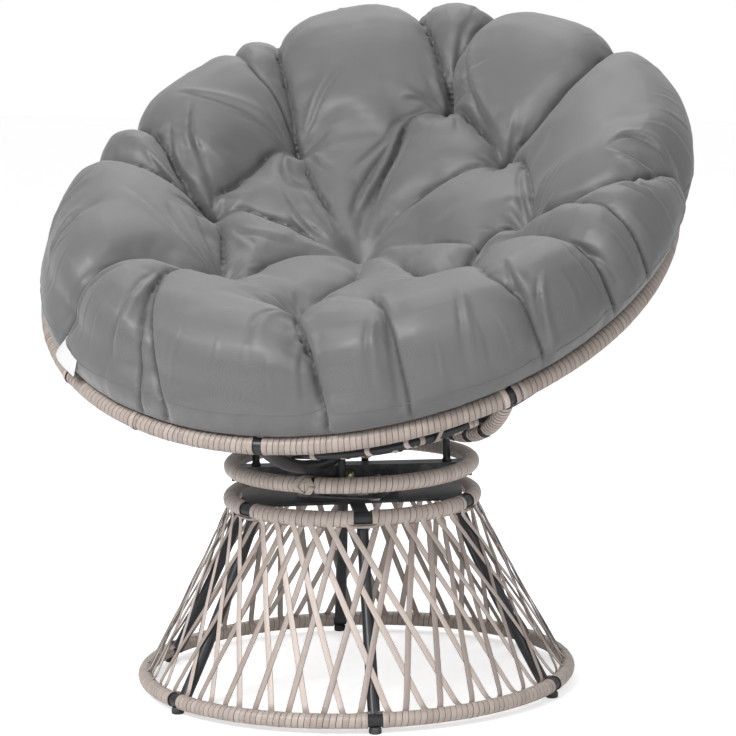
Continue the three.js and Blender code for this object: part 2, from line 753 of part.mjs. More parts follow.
/** All points of the bowl's lacing, one strand from rim to hub and back. */
function bowlLacingPoints() {
  const rimLoops = webLoopAngles(0);
  const hubLoops = webLoopAngles(hubMarginDegrees);
  const count = rimLoops.length;
  const angleOf = (loops, number) => loops[number % count] + fullTurn * Math.floor(number / count);
  const rimRadiusOut = (rimWrapRadius + stripGap + webThickness / 2) / Math.cos(fullTurn / 4 / rimLoopSteps);
  const hubStep = (3 * fullTurn) / 4 / hubLoopSteps;
  const hubRadiusOut = (hubTubeRadius + stripGap + webThickness / 2) / Math.cos(hubStep / 2);
  const [upper, , lower] = hoops;
  const rimTurn = Math.atan2(rim.height - upper.height, rim.radius - upper.radius);
  const hubTurn = Math.atan2(lower.height - hub.height, lower.radius - hub.radius);
  const rimAdvance = radians(webAdvanceDegrees);
  const hubAdvance = radians(hubAdvanceDegrees);
  const points = [];
  for (let i = 0; i < count; i++) {
    const start = i * (webDownLoops + webUpLoops);
    const rimMiddle = angleOf(rimLoops, start);
    const hubMiddle = angleOf(hubLoops, start + webDownLoops);
    const nextRim = angleOf(rimLoops, start + webDownLoops + webUpLoops);
    const rimLoop = loopPoints(
      rim, rimRadiusOut, rimTurn - fullTurn / 4, fullTurn / 2, rimMiddle, rimAdvance, rimLoopSteps,
    );
    const hubLoop = loopPoints(
      hub, hubRadiusOut, hubTurn + fullTurn / 4, (3 * fullTurn) / 4, hubMiddle, hubAdvance, hubLoopSteps,
    );
    hubLoop[hubLoopSteps].fold = around(Math.sin(hubTurn), hubMiddle, -Math.cos(hubTurn));
    const down = webRun(rimMiddle + rimAdvance, hubMiddle - hubAdvance, 1);
    const rising = webRun(nextRim - rimAdvance, hubMiddle + hubAdvance, 0).reverse();
    points.push(...rimLoop, ...down, ...hubLoop, ...rising);
  }
  return points;
}

/** How far a point lies from a tuft or a crease, as a dip that fades with the distance. */
function dip(distance, width) {
  return Math.exp(-(distance * distance) / (width * width));
}

const cushionSeatSphere = sphereRadius - cushionRaise;
const cushionLip = rimWrapRadius + cushionLipRise;

/** Rows of distance and height on the cushion, from shares of its radius and height. */
function cushionRows(rows) {
  return rows.map(([share, heightShare]) => [share * cushionRadius, heightShare * cushionHeight]);
}

const cushionDome = cushionRows(cushionDomeShares);
const cushionSideRows = cushionRows(cushionSideShares);
const [cushionTuck] = cushionRows([cushionTuckShares]);
const middlePlace = new THREE.Vector2(...middleTuftShare).multiplyScalar(cushionRadius);
const tufts = ringTuftShares.map((shares) => {
  const place = new THREE.Vector2(...shares).multiplyScalar(cushionRadius);
  const outwards = place.clone().sub(middlePlace).normalize();
  return { place, outwards, end: place.clone().addScaledVector(outwards, outerCreaseLength) };
});

/** How far a place lies from the stretch between two others. */
function stretchGap(place, from, to) {
  const run = to.clone().sub(from);
  const share = THREE.MathUtils.clamp(place.clone().sub(from).dot(run) / run.lengthSq(), 0, 1);
  return place.distanceTo(from.clone().addScaledVector(run, share));
}

/** The height of the cushion's top over the rim's plane, by its distance and angle from its middle. */
function cushionTop(radius, angle) {
  const [right, uphill] = cushionShift;
  const rows = cushionDome;
  const k = Math.max(rows.findIndex(([r]) => r >= radius), 1);
  const share = (radius - rows[k - 1][0]) / (rows[k][0] - rows[k - 1][0]);
  const dome = THREE.MathUtils.lerp(rows[k - 1][1], rows[k][1], share);
  const level = around(radius, angle, 0);
  const place = new THREE.Vector2(level.x + right, level.y + uphill);
  const dips = tufts.flatMap((tuft) => [
    ringTuftDepth * dip(place.distanceTo(tuft.place), tuftWidth),
    innerCreaseDepth * dip(stretchGap(place, middlePlace, tuft.place), creaseWidth),
    outerCreaseDepth * dip(stretchGap(place, tuft.place, tuft.end), creaseWidth),
  ]);
  const creases = dips.reduce((sum, depth) => sum + depth, 0);
  const shared = (tufts.length - 1) * innerCreaseDepth * dip(place.distanceTo(middlePlace), creaseWidth);
  return dome - creases + shared - middleTuftDepth * dip(place.distanceTo(middlePlace), tuftWidth);
}

/** How far the cushion's side is drawn in where a crease from a tuft reaches it. */
function drawnIn(angle) {
  const edge = around(cushionRadius, angle, 0);
  const place = new THREE.Vector2(edge.x + cushionShift[0], edge.y + cushionShift[1]);
  const gaps = tufts.map((tuft) => stretchGap(place, tuft.place, tuft.end));
  return sideCreaseDepth * dip(Math.min(...gaps), creaseWidth);
}

/** The tufted cushion: crowned lobes, drawn-in sides, and an underside that fits the bowl. */
function cushionGeometry() {
  const [right, uphill] = cushionShift;
  const angles = ringAngles(cushionColumns);
  const place = (radius, angle, height, shiftShare) =>
    around(radius, angle, height).add(new THREE.Vector3(right * shiftShare, uphill * shiftShare, 0));
  const rows = [
    ...cushionTopShares.map((share) => angles.map((a) => {
      const r = share * cushionRadius;
      return place(r, a, cushionTop(r, a), 1);
    })),
    ...cushionSideRows.map(([r, z]) => angles.map((a) => {
      const share = (z - cushionLip) / (cushionSideRows[0][1] - cushionLip);
      return place(r - drawnIn(a) * share, a, z, share);
    })),
    angles.map((a) => place(cushionTuck[0], a, cushionTuck[1], 0)),
    ...cushionFootShares.map((share) => angles.map((a) => {
      const r = share * cushionRadius;
      return place(r, a, sphereDrop(cushionSeatSphere, r), 0);
    })),
  ];
  const points = rows.flat();
  const faces = [];
  const columns = cushionColumns;
  for (let i = 0; i < rows.length - 1; i++) {
    for (let j = 0; j < columns; j++) {
      const a = i * columns + j;
      const b = i * columns + ((j + 1) % columns);
      faces.push(a, b, b + columns, a, b + columns, a + columns);
    }
  }
  const topMiddle = points.length;
  const footMiddle = topMiddle + 1;
  points.push(place(0, 0, cushionTop(0, 0), 1), place(0, 0, sphereDrop(cushionSeatSphere, 0), 0));
  const last = (rows.length - 1) * columns;
  for (let j = 0; j < columns; j++) {
    const next = (j + 1) % columns;
    faces.push(topMiddle, next, j, footMiddle, last + j, last + next);
  }
  return facets(points, faces);
}

const bowlPlace = new THREE.Matrix4()
  .makeTranslation(0, bowlBack, rimHeight)
  .multiply(new THREE.Matrix4().makeRotationX(bowlTilt));

/** The height of the bowl's sphere over a place on the floor. */
function bowlHeightAt(x, y) {
  const back = y - bowlBack + sphereHeight * Math.sin(bowlTilt);
  const over = rimHeight + sphereHeight * Math.cos(bowlTilt);
  return over - Math.sqrt(sphereRadius * sphereRadius - x * x - back * back);
}

/** An upright post between two heights, cut by the bowl's members above it. */
function postGeometry(x, y, low, high, cutters) {
  const post = bar(postRadius, low, high, smallRoundSteps).translate(x, y, 0);
  let left = solid(post);
  for (const cutter of cutters) {
    left = left.subtract(solid(cutter.clone().applyMatrix4(bowlPlace)));
  }
  const bodies = left.decompose().sort((a, b) => a.boundingBox().min[2] - b.boundingBox().min[2]);
  return geometryOf(bodies[0]);
}

/** The base: rings, legs, feet, wraps, lacing and plate. */
function buildBase() {
  const base = new THREE.Group();
  const floorTube = ringTube(
    floorRingRadius, floorRingHeight, floorTubeRadius, tubeSides, floorRing.angles,
  );
  const topTube = ringTube(topRingRadius, topRingHeight, topTubeRadius, tubeSides, topRing.angles);
  base.add(piece("floor_ring", floorTube, steel), piece("base_top_ring", topTube, steel));
  legAngles.forEach((angle, i) => {
    const floorWrap = ringSleeve(
      floorRingRadius, floorRingHeight, floorTubeRadius + seatGap, floorWrapRadius, floorWraps[i],
    );
    const topWrap = ringSleeve(
      topRingRadius, topRingHeight, topTubeRadius + seatGap, topWrapRadius, topWraps[i],
    );
    base.add(
      piece(`leg_${i + 1}`, legGeometry(angle), steel),
      piece(`foot_${i + 1}`, footGeometry(angle), rubber),
      piece(`floor_ring_wrap_${i + 1}`, floorWrap, wicker),
      piece(`top_ring_wrap_${i + 1}`, topWrap, wicker),
    );
  });
  const strand = stripSections(baseLacingPoints(), laceWidth, laceThickness);
  console.log(`base lacing, least gap to itself ${leastGap(strand).toFixed(2)} mm`);
  const lacing = loft(strand, true);
  base.add(
    piece("base_lacing", lacing, wicker),
    piece("base_plate", basePlateGeometry(), steel),
    piece("bearing_lower_plate", bearingPlateGeometry(basePlateTop + seatGap, 1), zinc),
  );
  return base;
}

const seatPlateLow = basePlateTop + bearingHeight;
const seatPlateTop = seatPlateLow + plateThickness;
const crossbarLow = seatPlateTop + seatGap;

/** The turning stack under the bowl: bearing, bolt, plates, crossbar, ring and posts. */
function buildTurntable(members) {
  const stack = new THREE.Group();
  const hole = boltRadius + 2 * seatGap;
  const seatPlate = plate(squareShape(seatPlateSide, seatPlateCorner, hole), seatPlateLow, seatPlateTop)
    .rotateZ(radians(crossbarDegrees));
  const upperPlate = bearingPlateGeometry(seatPlateLow - seatGap, -1).rotateZ(radians(crossbarDegrees));
  const turnRing = ringTube(turnRingRadius, turnRingHeight, turnTubeRadius, tubeSides, turnAngles);
  const turnWrap = ringSleeve(
    turnRingRadius, turnRingHeight, turnTubeRadius + seatGap, turnWrapRadius, turnAngles,
  );
  const boltLow = basePlateTop - plateThickness - seatGap;
  const boltHigh = seatPlateTop + seatGap;
  stack.add(
    piece("bearing_upper_plate", upperPlate, zinc),
    piece("pivot_bolt", pivotBoltGeometry(boltLow, boltHigh), zinc),
    piece("seat_plate", seatPlate, steel),
    piece("seat_crossbar", crossbarGeometry(crossbarLow), steel),
    piece("turning_ring", turnRing, steel),
    piece("turning_ring_wrap", turnWrap, wicker),
  );
  const barTurn = radians(crossbarDegrees);
  const barTop = crossbarLow + crossbarHeight + seatGap;
  for (const [name, [reach, past]] of Object.entries(sidePosts)) {
    const x = reach * Math.cos(barTurn);
    const y = reach * Math.sin(barTurn);
    const top = bowlHeightAt(x, y) + past;
    stack.add(piece(`post_${name}`, postGeometry(x, y, barTop, top, members), steel));
  }
  for (const [name, [x, y]] of Object.entries(middlePosts)) {
    const low = seatPlateTop + seatGap;
    stack.add(piece(`post_${name}`, postGeometry(x, y, low, rimHeight, members), steel));
  }
  return stack;
}

/** The members of the bowl that the posts end under, swollen by the seat gap. */
function postSeats() {
  const swollenRib = (angle, i) => {
    const path = ribPath(angle, [rimSlope, ...wrapSlopes, ribFootSlope]);
    const radius = (wrappedRibs.includes(i) ? ribWrapRadius : ribTubeRadius) + seatGap;
    return loft(roundSections(path, () => radius, tubeSides, along(angle)), false);
  };
  const swollenHoop = (hoop) =>
    ringTube(hoop.radius, hoop.height, hoopTubeRadius + seatGap, thinSides, hoop.angles);
  return [...ribAngles.map(swollenRib), ...hoops.map(swollenHoop)];
}

/** The tilted bowl: rim, ribs, hoops, hub, wraps, lacing and cushion. */
function buildBowl() {
  const bowl = new THREE.Group();
  bowl.position.set(0, bowlBack, rimHeight);
  bowl.rotation.x = bowlTilt;
  bowl.add(piece("bowl_rim", ringTube(rimRadius, 0, rimTubeRadius, tubeSides, rim.angles), steel));
  rimWraps.forEach((angles, i) => {
    const wrap = ringSleeve(rimRadius, 0, rimTubeRadius + seatGap, rimWrapRadius, angles);
    bowl.add(piece(`rim_wrap_${i + 1}`, wrap, wicker));
  });
  ribAngles.forEach((angle, i) => bowl.add(piece(`bowl_rib_${i + 1}`, ribGeometry(angle), steel)));
  for (const i of wrappedRibs) {
    bowl.add(piece(`rib_wrap_${i + 1}`, ribWrapGeometry(ribAngles[i]), wicker));
  }
  for (const hoop of hoops) {
    const tube = ringTube(hoop.radius, hoop.height, hoopTubeRadius, thinSides, hoop.angles);
    bowl.add(piece(`bowl_hoop_${hoop.name}`, tube, steel));
  }
  const hubTube = ringTube(hub.radius, hub.height, hubTubeRadius, tubeSides, hub.angles);
  const strand = stripSections(bowlLacingPoints(), webWidth, webThickness);
  console.log(`bowl lacing, least gap to itself ${leastGap(strand).toFixed(2)} mm`);
  const lacing = loft(strand, true);
  bowl.add(
    piece("bowl_hub_ring", hubTube, steel),
    piece("bowl_lacing", lacing, wicker),
    piece("cushion", cushionGeometry(), fabric),
  );
  return bowl;
}

const chair = new THREE.Group();
chair.add(buildBase(), buildTurntable(postSeats()), buildBowl());

// The origin is the middle of the box round the whole chair, at floor level
const box = new THREE.Box3().setFromObject(chair, true);
const middle = box.getCenter(new THREE.Vector3());
chair.position.set(-middle.x, -middle.y, -box.min.z);
console.log(`turning axis at x ${chair.position.x.toFixed(3)}, y ${chair.position.y.toFixed(3)} mm`);
console.log(`overall ${box.getSize(up.clone()).toArray().map((size) => size.toFixed(1)).join(" x ")} mm`);

export default chair;
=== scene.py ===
"""Looks of a swivel papasan chair: a tilted wicker bowl with a tufted cushion on a laced, turning base.

All lengths are metres in the row frame: X to the right, -Y to the front, Z up.
"""

import json
import logging
import math
from dataclasses import dataclass
from enum import Enum
from typing import Sequence

import bmesh
import bpy
import numpy as np
from mathutils import Matrix, Vector
from mathutils.bvhtree import BVHTree


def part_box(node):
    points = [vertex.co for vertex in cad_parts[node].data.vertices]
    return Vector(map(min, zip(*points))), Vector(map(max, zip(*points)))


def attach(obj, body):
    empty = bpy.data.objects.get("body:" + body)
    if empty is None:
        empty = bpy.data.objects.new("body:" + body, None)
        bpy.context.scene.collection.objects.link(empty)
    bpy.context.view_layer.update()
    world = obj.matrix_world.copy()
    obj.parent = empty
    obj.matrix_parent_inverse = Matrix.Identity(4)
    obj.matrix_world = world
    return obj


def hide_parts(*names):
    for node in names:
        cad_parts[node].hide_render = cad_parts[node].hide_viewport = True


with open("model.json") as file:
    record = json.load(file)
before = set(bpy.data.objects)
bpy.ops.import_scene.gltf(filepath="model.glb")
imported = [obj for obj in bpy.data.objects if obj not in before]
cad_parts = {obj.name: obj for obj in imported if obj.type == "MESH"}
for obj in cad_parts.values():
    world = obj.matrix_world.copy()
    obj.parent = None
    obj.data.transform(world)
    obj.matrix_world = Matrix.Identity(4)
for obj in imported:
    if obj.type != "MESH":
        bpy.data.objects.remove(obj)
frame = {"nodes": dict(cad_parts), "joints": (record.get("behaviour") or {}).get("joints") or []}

logging.basicConfig(level=logging.INFO, format="%(levelname)s %(name)s: %(message)s")
log = logging.getLogger("papasan")

TURN = 2 * math.pi
COURSE_STEP = 0.004
WOUND_PITCH = 0.0082
OVERLAP_TONE = 0.8
Points = np.ndarray
Pairs = tuple[tuple[float, float], ...]
Colour = tuple[float, float, float, float]
Socket = bpy.types.NodeSocket


class Body(Enum):
    """The two bodies that the swivel joins."""

    BASE = "base"
    SEAT = "seat"


class Slot(Enum):
    """The finishes that the record names."""

    STEEL = "steel"
    WICKER = "wicker"
    ZINC = "zinc"
    GLIDE = "glide"
    FABRIC = "fabric"


class Family(Enum):
    """The two directions of the lacing, and how light each is painted: painted light on falling stretches,
    painted shade on rising ones.
    """

    FALLING = 1.0
    RISING = 0.0


class Sketch:
    """Adds nodes and links to one node tree."""

    def __init__(self, tree: bpy.types.NodeTree) -> None:
        """Keeps the tree that the nodes go into."""
        self.tree = tree

    def node(self, kind: str, **settings: object) -> bpy.types.Node:
        """Adds a node and sets its properties.

        Args:
            kind: the node's type name.
            settings: its properties by name.

        Returns:
            The new node.
        """
        made = self.tree.nodes.new(kind)
        for name, value in settings.items():
            setattr(made, name, value)
        return made

    def link(self, source: Socket, target: Socket) -> None:
        """Joins an output to an input."""
        self.tree.links.new(source, target)

    def feed(self, target: Socket, value: object) -> None:
        """Links a socket, or sets a plain value."""
        if isinstance(value, Socket):
            self.link(value, target)
        else:
            target.default_value = value

    def maths(self, operation: str, *values: object, clamp: bool = False) -> Socket:
        """A maths node.

        Args:
            operation: the name of the sum, such as MULTIPLY.
            values: sockets or numbers.
            clamp: whether the result stays from 0 to 1.

        Returns:
            Its output.
        """
        made = self.node("ShaderNodeMath", operation=operation, use_clamp=clamp)
        for target, value in zip(made.inputs, values):
            self.feed(target, value)
        return made.outputs[0]

    def sloped(self, value: Socket, factor: float, start: object = 0.0) -> Socket:
        """A value times a factor, added to a start."""
        return self.maths("MULTIPLY_ADD", value, factor, start)

    def ramp(self, value: Socket, low: float, high: float) -> Socket:
        """A smooth rise from 0 to 1.

        Args:
            value: what is read.
            low: where the rise starts.
            high: where it ends.

        Returns:
            The risen value.
        """
        made = self.node("ShaderNodeMapRange", interpolation_type="SMOOTHSTEP", clamp=True)
        self.feed(made.inputs["Value"], value)
        made.inputs["From Min"].default_value = low
        made.inputs["From Max"].default_value = high
        return made.outputs[0]

    def blend(self, factor: object, first: object, second: object) -> Socket:
        """A mix of two colours.

        Args:
            factor: a socket or number, 0 for the first colour.
            first: a socket or colour.
            second: a socket or colour.

        Returns:
            The mixed colour.
        """
        made = self.node("ShaderNodeMix", data_type="RGBA")
        self.feed(made.inputs[0], factor)
        self.feed(made.inputs[6], first)
        self.feed(made.inputs[7], second)
        return made.outputs[2]

    def noise(self, vector: object, scale: float, detail: float = 2.0, roughness: float = 0.5) -> Socket:
        """A noise texture.

        Args:
            vector: the coordinates' socket.
            scale: cells in a metre.
            detail: how many finer layers it has.
            roughness: how strong the finer layers are.

        Returns:
            Its value, about 0.5 in the mean.
        """
        made = self.node("ShaderNodeTexNoise")
        self.feed(made.inputs["Vector"], vector)
        made.inputs["Scale"].default_value = scale
        made.inputs["Detail"].default_value = detail
        made.inputs["Roughness"].default_value = roughness
        return made.outputs["Fac"]

    def stretched(self, vector: object, scale: Sequence[float]) -> Socket:
        """Coordinates times a scale for each axis."""
        made = self.node("ShaderNodeVectorMath", operation="MULTIPLY")
        self.feed(made.inputs[0], vector)
        made.inputs[1].default_value = scale
        return made.outputs[0]


class SharedGroup:
    """A shader node group that several materials place with values of their own.

    It takes vectors, which have no value here, and numbers, and gives numbers.
    """

    name = ""
    takes: tuple[tuple[str, float | None], ...] = ()
    gives: tuple[str, ...] = ()

    def build(self, sketch: Sketch, given: bpy.types.Node, out: bpy.types.Node) -> None:
        """Fills the group between its input and output nodes."""
        raise NotImplementedError

    def tree(self) -> bpy.types.NodeTree:
        """The group, built the first time that it is asked for.

        Returns:
            The node tree.
        """
        found = bpy.data.node_groups.get(self.name)
        if found:
            return found
        made = bpy.data.node_groups.new(self.name, "ShaderNodeTree")
        for name, value in self.takes:
            kind = "NodeSocketVector" if value is None else "NodeSocketFloat"
            socket = made.interface.new_socket(name, in_out="INPUT", socket_type=kind)
            if value is not None:
                socket.default_value = value
        for name in self.gives:
            made.interface.new_socket(name, in_out="OUTPUT", socket_type="NodeSocketFloat")
        sketch = Sketch(made)
        self.build(sketch, sketch.node("NodeGroupInput"), sketch.node("NodeGroupOutput"))
        return made

    def place(self, sketch: Sketch, **values: object) -> bpy.types.Node:
        """Puts the group into a material.

        Args:
            sketch: the material's tree.
            values: a socket or number for each input, by name.

        Returns:
            The group node.
        """
        made = sketch.node("ShaderNodeGroup", node_tree=self.tree())
        for name, value in values.items():
            sketch.feed(made.inputs[name], value)
        return made


class StripGrain(SharedGroup):
    """The drawn grain of a flat plastic strip: lines along it, paler and darker lengths, and a mask for painted
    shade at its edges.
    """

    name = "strip_grain"
    takes = (("Along And Across", None), ("Grain", 1.0))
    gives = ("Tone", "Edge", "Height")

    def build(self, sketch: Sketch, given: bpy.types.Node, out: bpy.types.Node) -> None:
        """Lines follow the strip's length, lengths change every few centimetres."""
        place = given.outputs["Along And Across"]
        fine = sketch.noise(sketch.stretched(place, (22.0, 11.0, 1.0)), 1.0, 3.0, 0.6)
        broad = sketch.noise(sketch.stretched(place, (9.0, 0.6, 1.0)), 1.0, 1.0, 0.5)
        lines = sketch.noise(sketch.stretched(place, (60.0, 34.0, 1.0)), 1.0, 2.0, 0.5)
        tone = sketch.sloped(fine, 0.45, sketch.sloped(broad, 0.55))
        split = sketch.node("ShaderNodeSeparateXYZ")
        sketch.link(place, split.inputs[0])
        sketch.link(tone, out.inputs["Tone"])
        # Edge: a mask for painted shade in the gaps at the strip's edges.
        sketch.link(sketch.ramp(sketch.maths("ABSOLUTE", split.outputs["Y"]), 0.43, 0.5), out.inputs["Edge"])
        sketch.link(sketch.maths("MULTIPLY", lines, given.outputs["Grain"]), out.inputs["Height"])


class EdgeWear(SharedGroup):
    """Where corners are rubbed: sharp places, broken up by noise."""

    name = "edge_wear"
    takes = (("Place", None), ("Reach", 1.0))
    gives = ("Mask",)

    def build(self, sketch: Sketch, given: bpy.types.Node, out: bpy.types.Node) -> None:
        """Pointed places show the wear."""
        shape = sketch.node("ShaderNodeNewGeometry")
        sharp = sketch.ramp(shape.outputs["Pointiness"], 0.505, 0.58)
        broken = sketch.ramp(sketch.noise(given.outputs["Place"], 55.0, 4.0, 0.6), 0.4, 0.7)
        mask = sketch.maths("MULTIPLY", sketch.maths("MULTIPLY", sharp, broken), given.outputs["Reach"])
        sketch.link(mask, out.inputs["Mask"])


class PaintSkin(SharedGroup):
    """The fine orange-peel skin of baked powder paint, and its cloudy gloss."""

    name = "paint_skin"
    takes = (("Place", None), ("Coarseness", 1.0))
    gives = ("Cloud", "Height")

    def build(self, sketch: Sketch, given: bpy.types.Node, out: bpy.types.Node) -> None:
        """A fine grain over slow clouds."""
        place = given.outputs["Place"]
        grain = sketch.noise(place, 900.0, 2.0, 0.5)
        height = sketch.maths("MULTIPLY", grain, given.outputs["Coarseness"])
        sketch.link(sketch.noise(place, 14.0, 3.0, 0.55), out.inputs["Cloud"])
        sketch.link(height, out.inputs["Height"])


class SatinWeave(SharedGroup):
    """The fine weave of a satin cloth: close floats along one thread, and a soft cloud of wear."""

    name = "satin_weave"
    takes = (("Place", None), ("Threads", 900.0))
    gives = ("Thread", "Cloud", "Height")

    def build(self, sketch: Sketch, given: bpy.types.Node, out: bpy.types.Node) -> None:
        """Warp and weft as two crossing waves."""
        place = given.outputs["Place"]
        scaled = sketch.node("ShaderNodeVectorMath", operation="SCALE")
        sketch.link(place, scaled.inputs[0])
        sketch.link(given.outputs["Threads"], scaled.inputs["Scale"])
        waves = []
        for direction in ("X", "Y"):
            wave = sketch.node("ShaderNodeTexWave", bands_direction=direction)
            wave.inputs["Scale"].default_value = 1.0
            wave.inputs["Distortion"].default_value = 0.6
            sketch.link(scaled.outputs[0], wave.inputs["Vector"])
            waves.append(wave.outputs["Fac"])
        thread = sketch.maths("MULTIPLY", waves[0], waves[1])
        sketch.link(thread, out.inputs["Thread"])
        sketch.link(sketch.noise(place, 7.0, 4.0, 0.55), out.inputs["Cloud"])
        sketch.link(thread, out.inputs["Height"])


class Dust(SharedGroup):
    """A thin veil of dust on faces that look up."""

    name = "settled_dust"
    takes = (("Place", None), ("Amount", 0.2))
    gives = ("Mask",)

    def build(self, sketch: Sketch, given: bpy.types.Node, out: bpy.types.Node) -> None:
        """Upward faces, broken by noise."""
        shape = sketch.node("ShaderNodeNewGeometry")
        split = sketch.node("ShaderNodeSeparateXYZ")
        sketch.link(shape.outputs["Normal"], split.inputs[0])
        level = sketch.ramp(split.outputs["Z"], 0.3, 1.0)
        broken = sketch.ramp(sketch.noise(given.outputs["Place"], 30.0, 4.0, 0.6), 0.35, 0.75)
        mask = sketch.maths("MULTIPLY", sketch.maths("MULTIPLY", level, broken), given.outputs["Amount"])
        sketch.link(mask, out.inputs["Mask"])


STRIP_GRAIN = StripGrain()
EDGE_WEAR = EdgeWear()
PAINT_SKIN = PaintSkin()
SATIN_WEAVE = SatinWeave()
DUST = Dust()


def srgb(red: int, green: int, blue: int) -> Colour:
    """A colour of three screen values as the shader's linear one."""

    def linear(value: int) -> float:
        """One channel."""
        share = value / 255
        return share / 12.92 if share <= 0.04045 else ((share + 0.055) / 1.055) ** 2.4

    return (linear(red), linear(green), linear(blue), 1.0)


@dataclass(frozen=True)
class Finish:
    """What every finish has: a name and the constants of its shader."""

    name: str
    slot: Slot | None = None
    roughness: float = 0.5
    metallic: float = 0.0
    specular: float = 0.5

    def dress(self, sketch: Sketch, shader: bpy.types.Node) -> None:
        """Feeds the shader's changing sockets."""
        raise NotImplementedError

    def place(self, sketch: Sketch) -> Socket:
        """Coordinates that move with the piece."""
        return sketch.node("ShaderNodeTexCoord").outputs["Object"]

    def dusty(self, sketch: Sketch, colour: Socket, amount: float, dust: Colour) -> Socket:
        """A colour under a veil of dust."""
        veil = DUST.place(sketch, Place=self.place(sketch), Amount=amount)
        return sketch.blend(veil.outputs["Mask"], colour, dust)

    def bump(self, sketch: Sketch, shader: bpy.types.Node, height: Socket, depth: float) -> None:
        """Feeds a height to the shader's normal.

        Args:
            sketch: the material's tree.
            shader: the shader.
            height: the height's socket, 0 to 1.
            depth: how deep a height of 1 is, in metres.
        """
        made = sketch.node("ShaderNodeBump")
        made.inputs["Strength"].default_value = 1.0
        made.inputs["Distance"].default_value = depth
        sketch.link(height, made.inputs["Height"])
        sketch.link(made.outputs[0], shader.inputs["Normal"])

    def material(self) -> bpy.types.Material:
        """The material, made the first time that it is asked for.

        Returns:
            The material.
        """
        found = bpy.data.materials.get(self.name)
        if found:
            return found
        made = bpy.data.materials.new(self.name)
        made.use_nodes = True
        made.node_tree.nodes.clear()
        sketch = Sketch(made.node_tree)
        shader = sketch.node("ShaderNodeBsdfPrincipled")
        out = sketch.node("ShaderNodeOutputMaterial")
        sketch.link(shader.outputs[0], out.inputs["Surface"])
        constants = {
            "Roughness": self.roughness,
            "Metallic": self.metallic,
            "Specular IOR Level": self.specular,
        }
        for name, value in constants.items():
            shader.inputs[name].default_value = value
        self.dress(sketch, shader)
        return made


@dataclass(frozen=True)
class WickerFinish(Finish):
    """Flat plastic wicker strip, greige, drawn along its length."""

    light: Colour = srgb(220, 206, 197)
    dark: Colour = srgb(130, 116, 109)
    # edge: painted shade in the gaps between the strip's turns, darkening its edges.
    edge: Colour = srgb(66, 57, 53)
    dust: Colour = srgb(205, 199, 192)
    own_share: float = 0.22
    # How strongly the painted shade darkens the strip's edges.
    edge_shade_share: float = 0.82
    clouding: float = 0.2
    relief: float = 0.00022

    def dress(self, sketch: Sketch, shader: bpy.types.Node) -> None:
        """Tone, painted shade at the edges, and grain from the strip's own coordinates."""
        strip = sketch.node("ShaderNodeUVMap", uv_map="strip")
        grain = STRIP_GRAIN.place(sketch, **{"Along And Across": strip.outputs[0], "Grain": 1.0})
        tone = sketch.ramp(grain.outputs["Tone"], 0.3, 0.7)
        # The point tone holds random tone with painted light and painted shade for each lacing direction and
        # ring.
        side = sketch.node("ShaderNodeAttribute", attribute_name="tone_and_painted_light").outputs["Fac"]
        lit = sketch.sloped(tone, self.own_share, sketch.sloped(side, 1.0 - self.own_share))
        colour = sketch.blend(lit, self.dark, self.light)
        # Painted shade darkens the strip's edges.
        colour = sketch.blend(sketch.sloped(grain.outputs["Edge"], self.edge_shade_share), colour, self.edge)
        sketch.link(self.dusty(sketch, colour, 0.12, self.dust), shader.inputs["Base Color"])
        rough = sketch.sloped(grain.outputs["Tone"], self.clouding, self.roughness)
        sketch.link(rough, shader.inputs["Roughness"])
        self.bump(sketch, shader, grain.outputs["Height"], self.relief)


@dataclass(frozen=True)
class CoatedFinish(Finish):
    """A thin coat with a fine skin: two tones in clouds, and rubbed corners."""

    pale: Colour = srgb(48, 50, 54)
    deep: Colour = srgb(38, 40, 43)
    rubbed: Colour = srgb(104, 106, 110)
    coarseness: float = 1.0
    reach: float = 0.7
    clouding: float = 0.22
    relief: float = 0.00004

    def tone(self, sketch: Sketch, skin: bpy.types.Node) -> Socket:
        """How pale each place is."""
        return sketch.ramp(skin.outputs["Cloud"], 0.35, 0.65)

    def topped(self, sketch: Sketch, colour: Socket) -> Socket:
        """The colour with what lies on it."""
        return colour

    def dress(self, sketch: Sketch, shader: bpy.types.Node) -> None:
        """Clouds, rubbed corners and the coat's skin."""
        place = self.place(sketch)
        skin = PAINT_SKIN.place(sketch, Place=place, Coarseness=self.coarseness)
        wear = EDGE_WEAR.place(sketch, Place=place, Reach=self.reach)
        colour = sketch.blend(self.tone(sketch, skin), self.deep, self.pale)
        colour = sketch.blend(wear.outputs["Mask"], colour, self.rubbed)
        sketch.link(self.topped(sketch, colour), shader.inputs["Base Color"])
        rough = sketch.sloped(skin.outputs["Cloud"], self.clouding, self.roughness)
        sketch.link(rough, shader.inputs["Roughness"])
        self.bump(sketch, shader, skin.outputs["Height"], self.relief)


@dataclass(frozen=True)
class SteelFinish(CoatedFinish):
    """Charcoal powder paint on steel, a little dusty."""

    def topped(self, sketch: Sketch, colour: Socket) -> Socket:
        """The paint under its dust."""
        return self.dusty(sketch, colour, 0.1, srgb(150, 148, 145))


@dataclass(frozen=True)
class ZincFinish(CoatedFinish):
    """Yellow or plain zinc plating in small patches, rubbed at the corners."""

    rubbed: Colour = srgb(228, 228, 226)
    coarseness: float = 0.6
    reach: float = 0.8
    clouding: float = 0.25
    relief: float = 0.00002

    def tone(self, sketch: Sketch, skin: bpy.types.Node) -> Socket:
        """Patches finer than the skin's clouds."""
        return sketch.ramp(sketch.noise(self.place(sketch), 90.0), 0.35, 0.65)


@dataclass(frozen=True)
class GlideFinish(CoatedFinish):
    """Hard black rubber with scuffs."""

    pale: Colour = srgb(44, 45, 47)
    deep: Colour = srgb(28, 29, 31)
    rubbed: Colour = srgb(96, 95, 93)
    coarseness: float = 1.6
    reach: float = 1.0
    clouding: float = 0.2
    relief: float = 0.00012

    def tone(self, sketch: Sketch, skin: bpy.types.Node) -> Socket:
        """Soft clouds."""
        return skin.outputs["Cloud"]


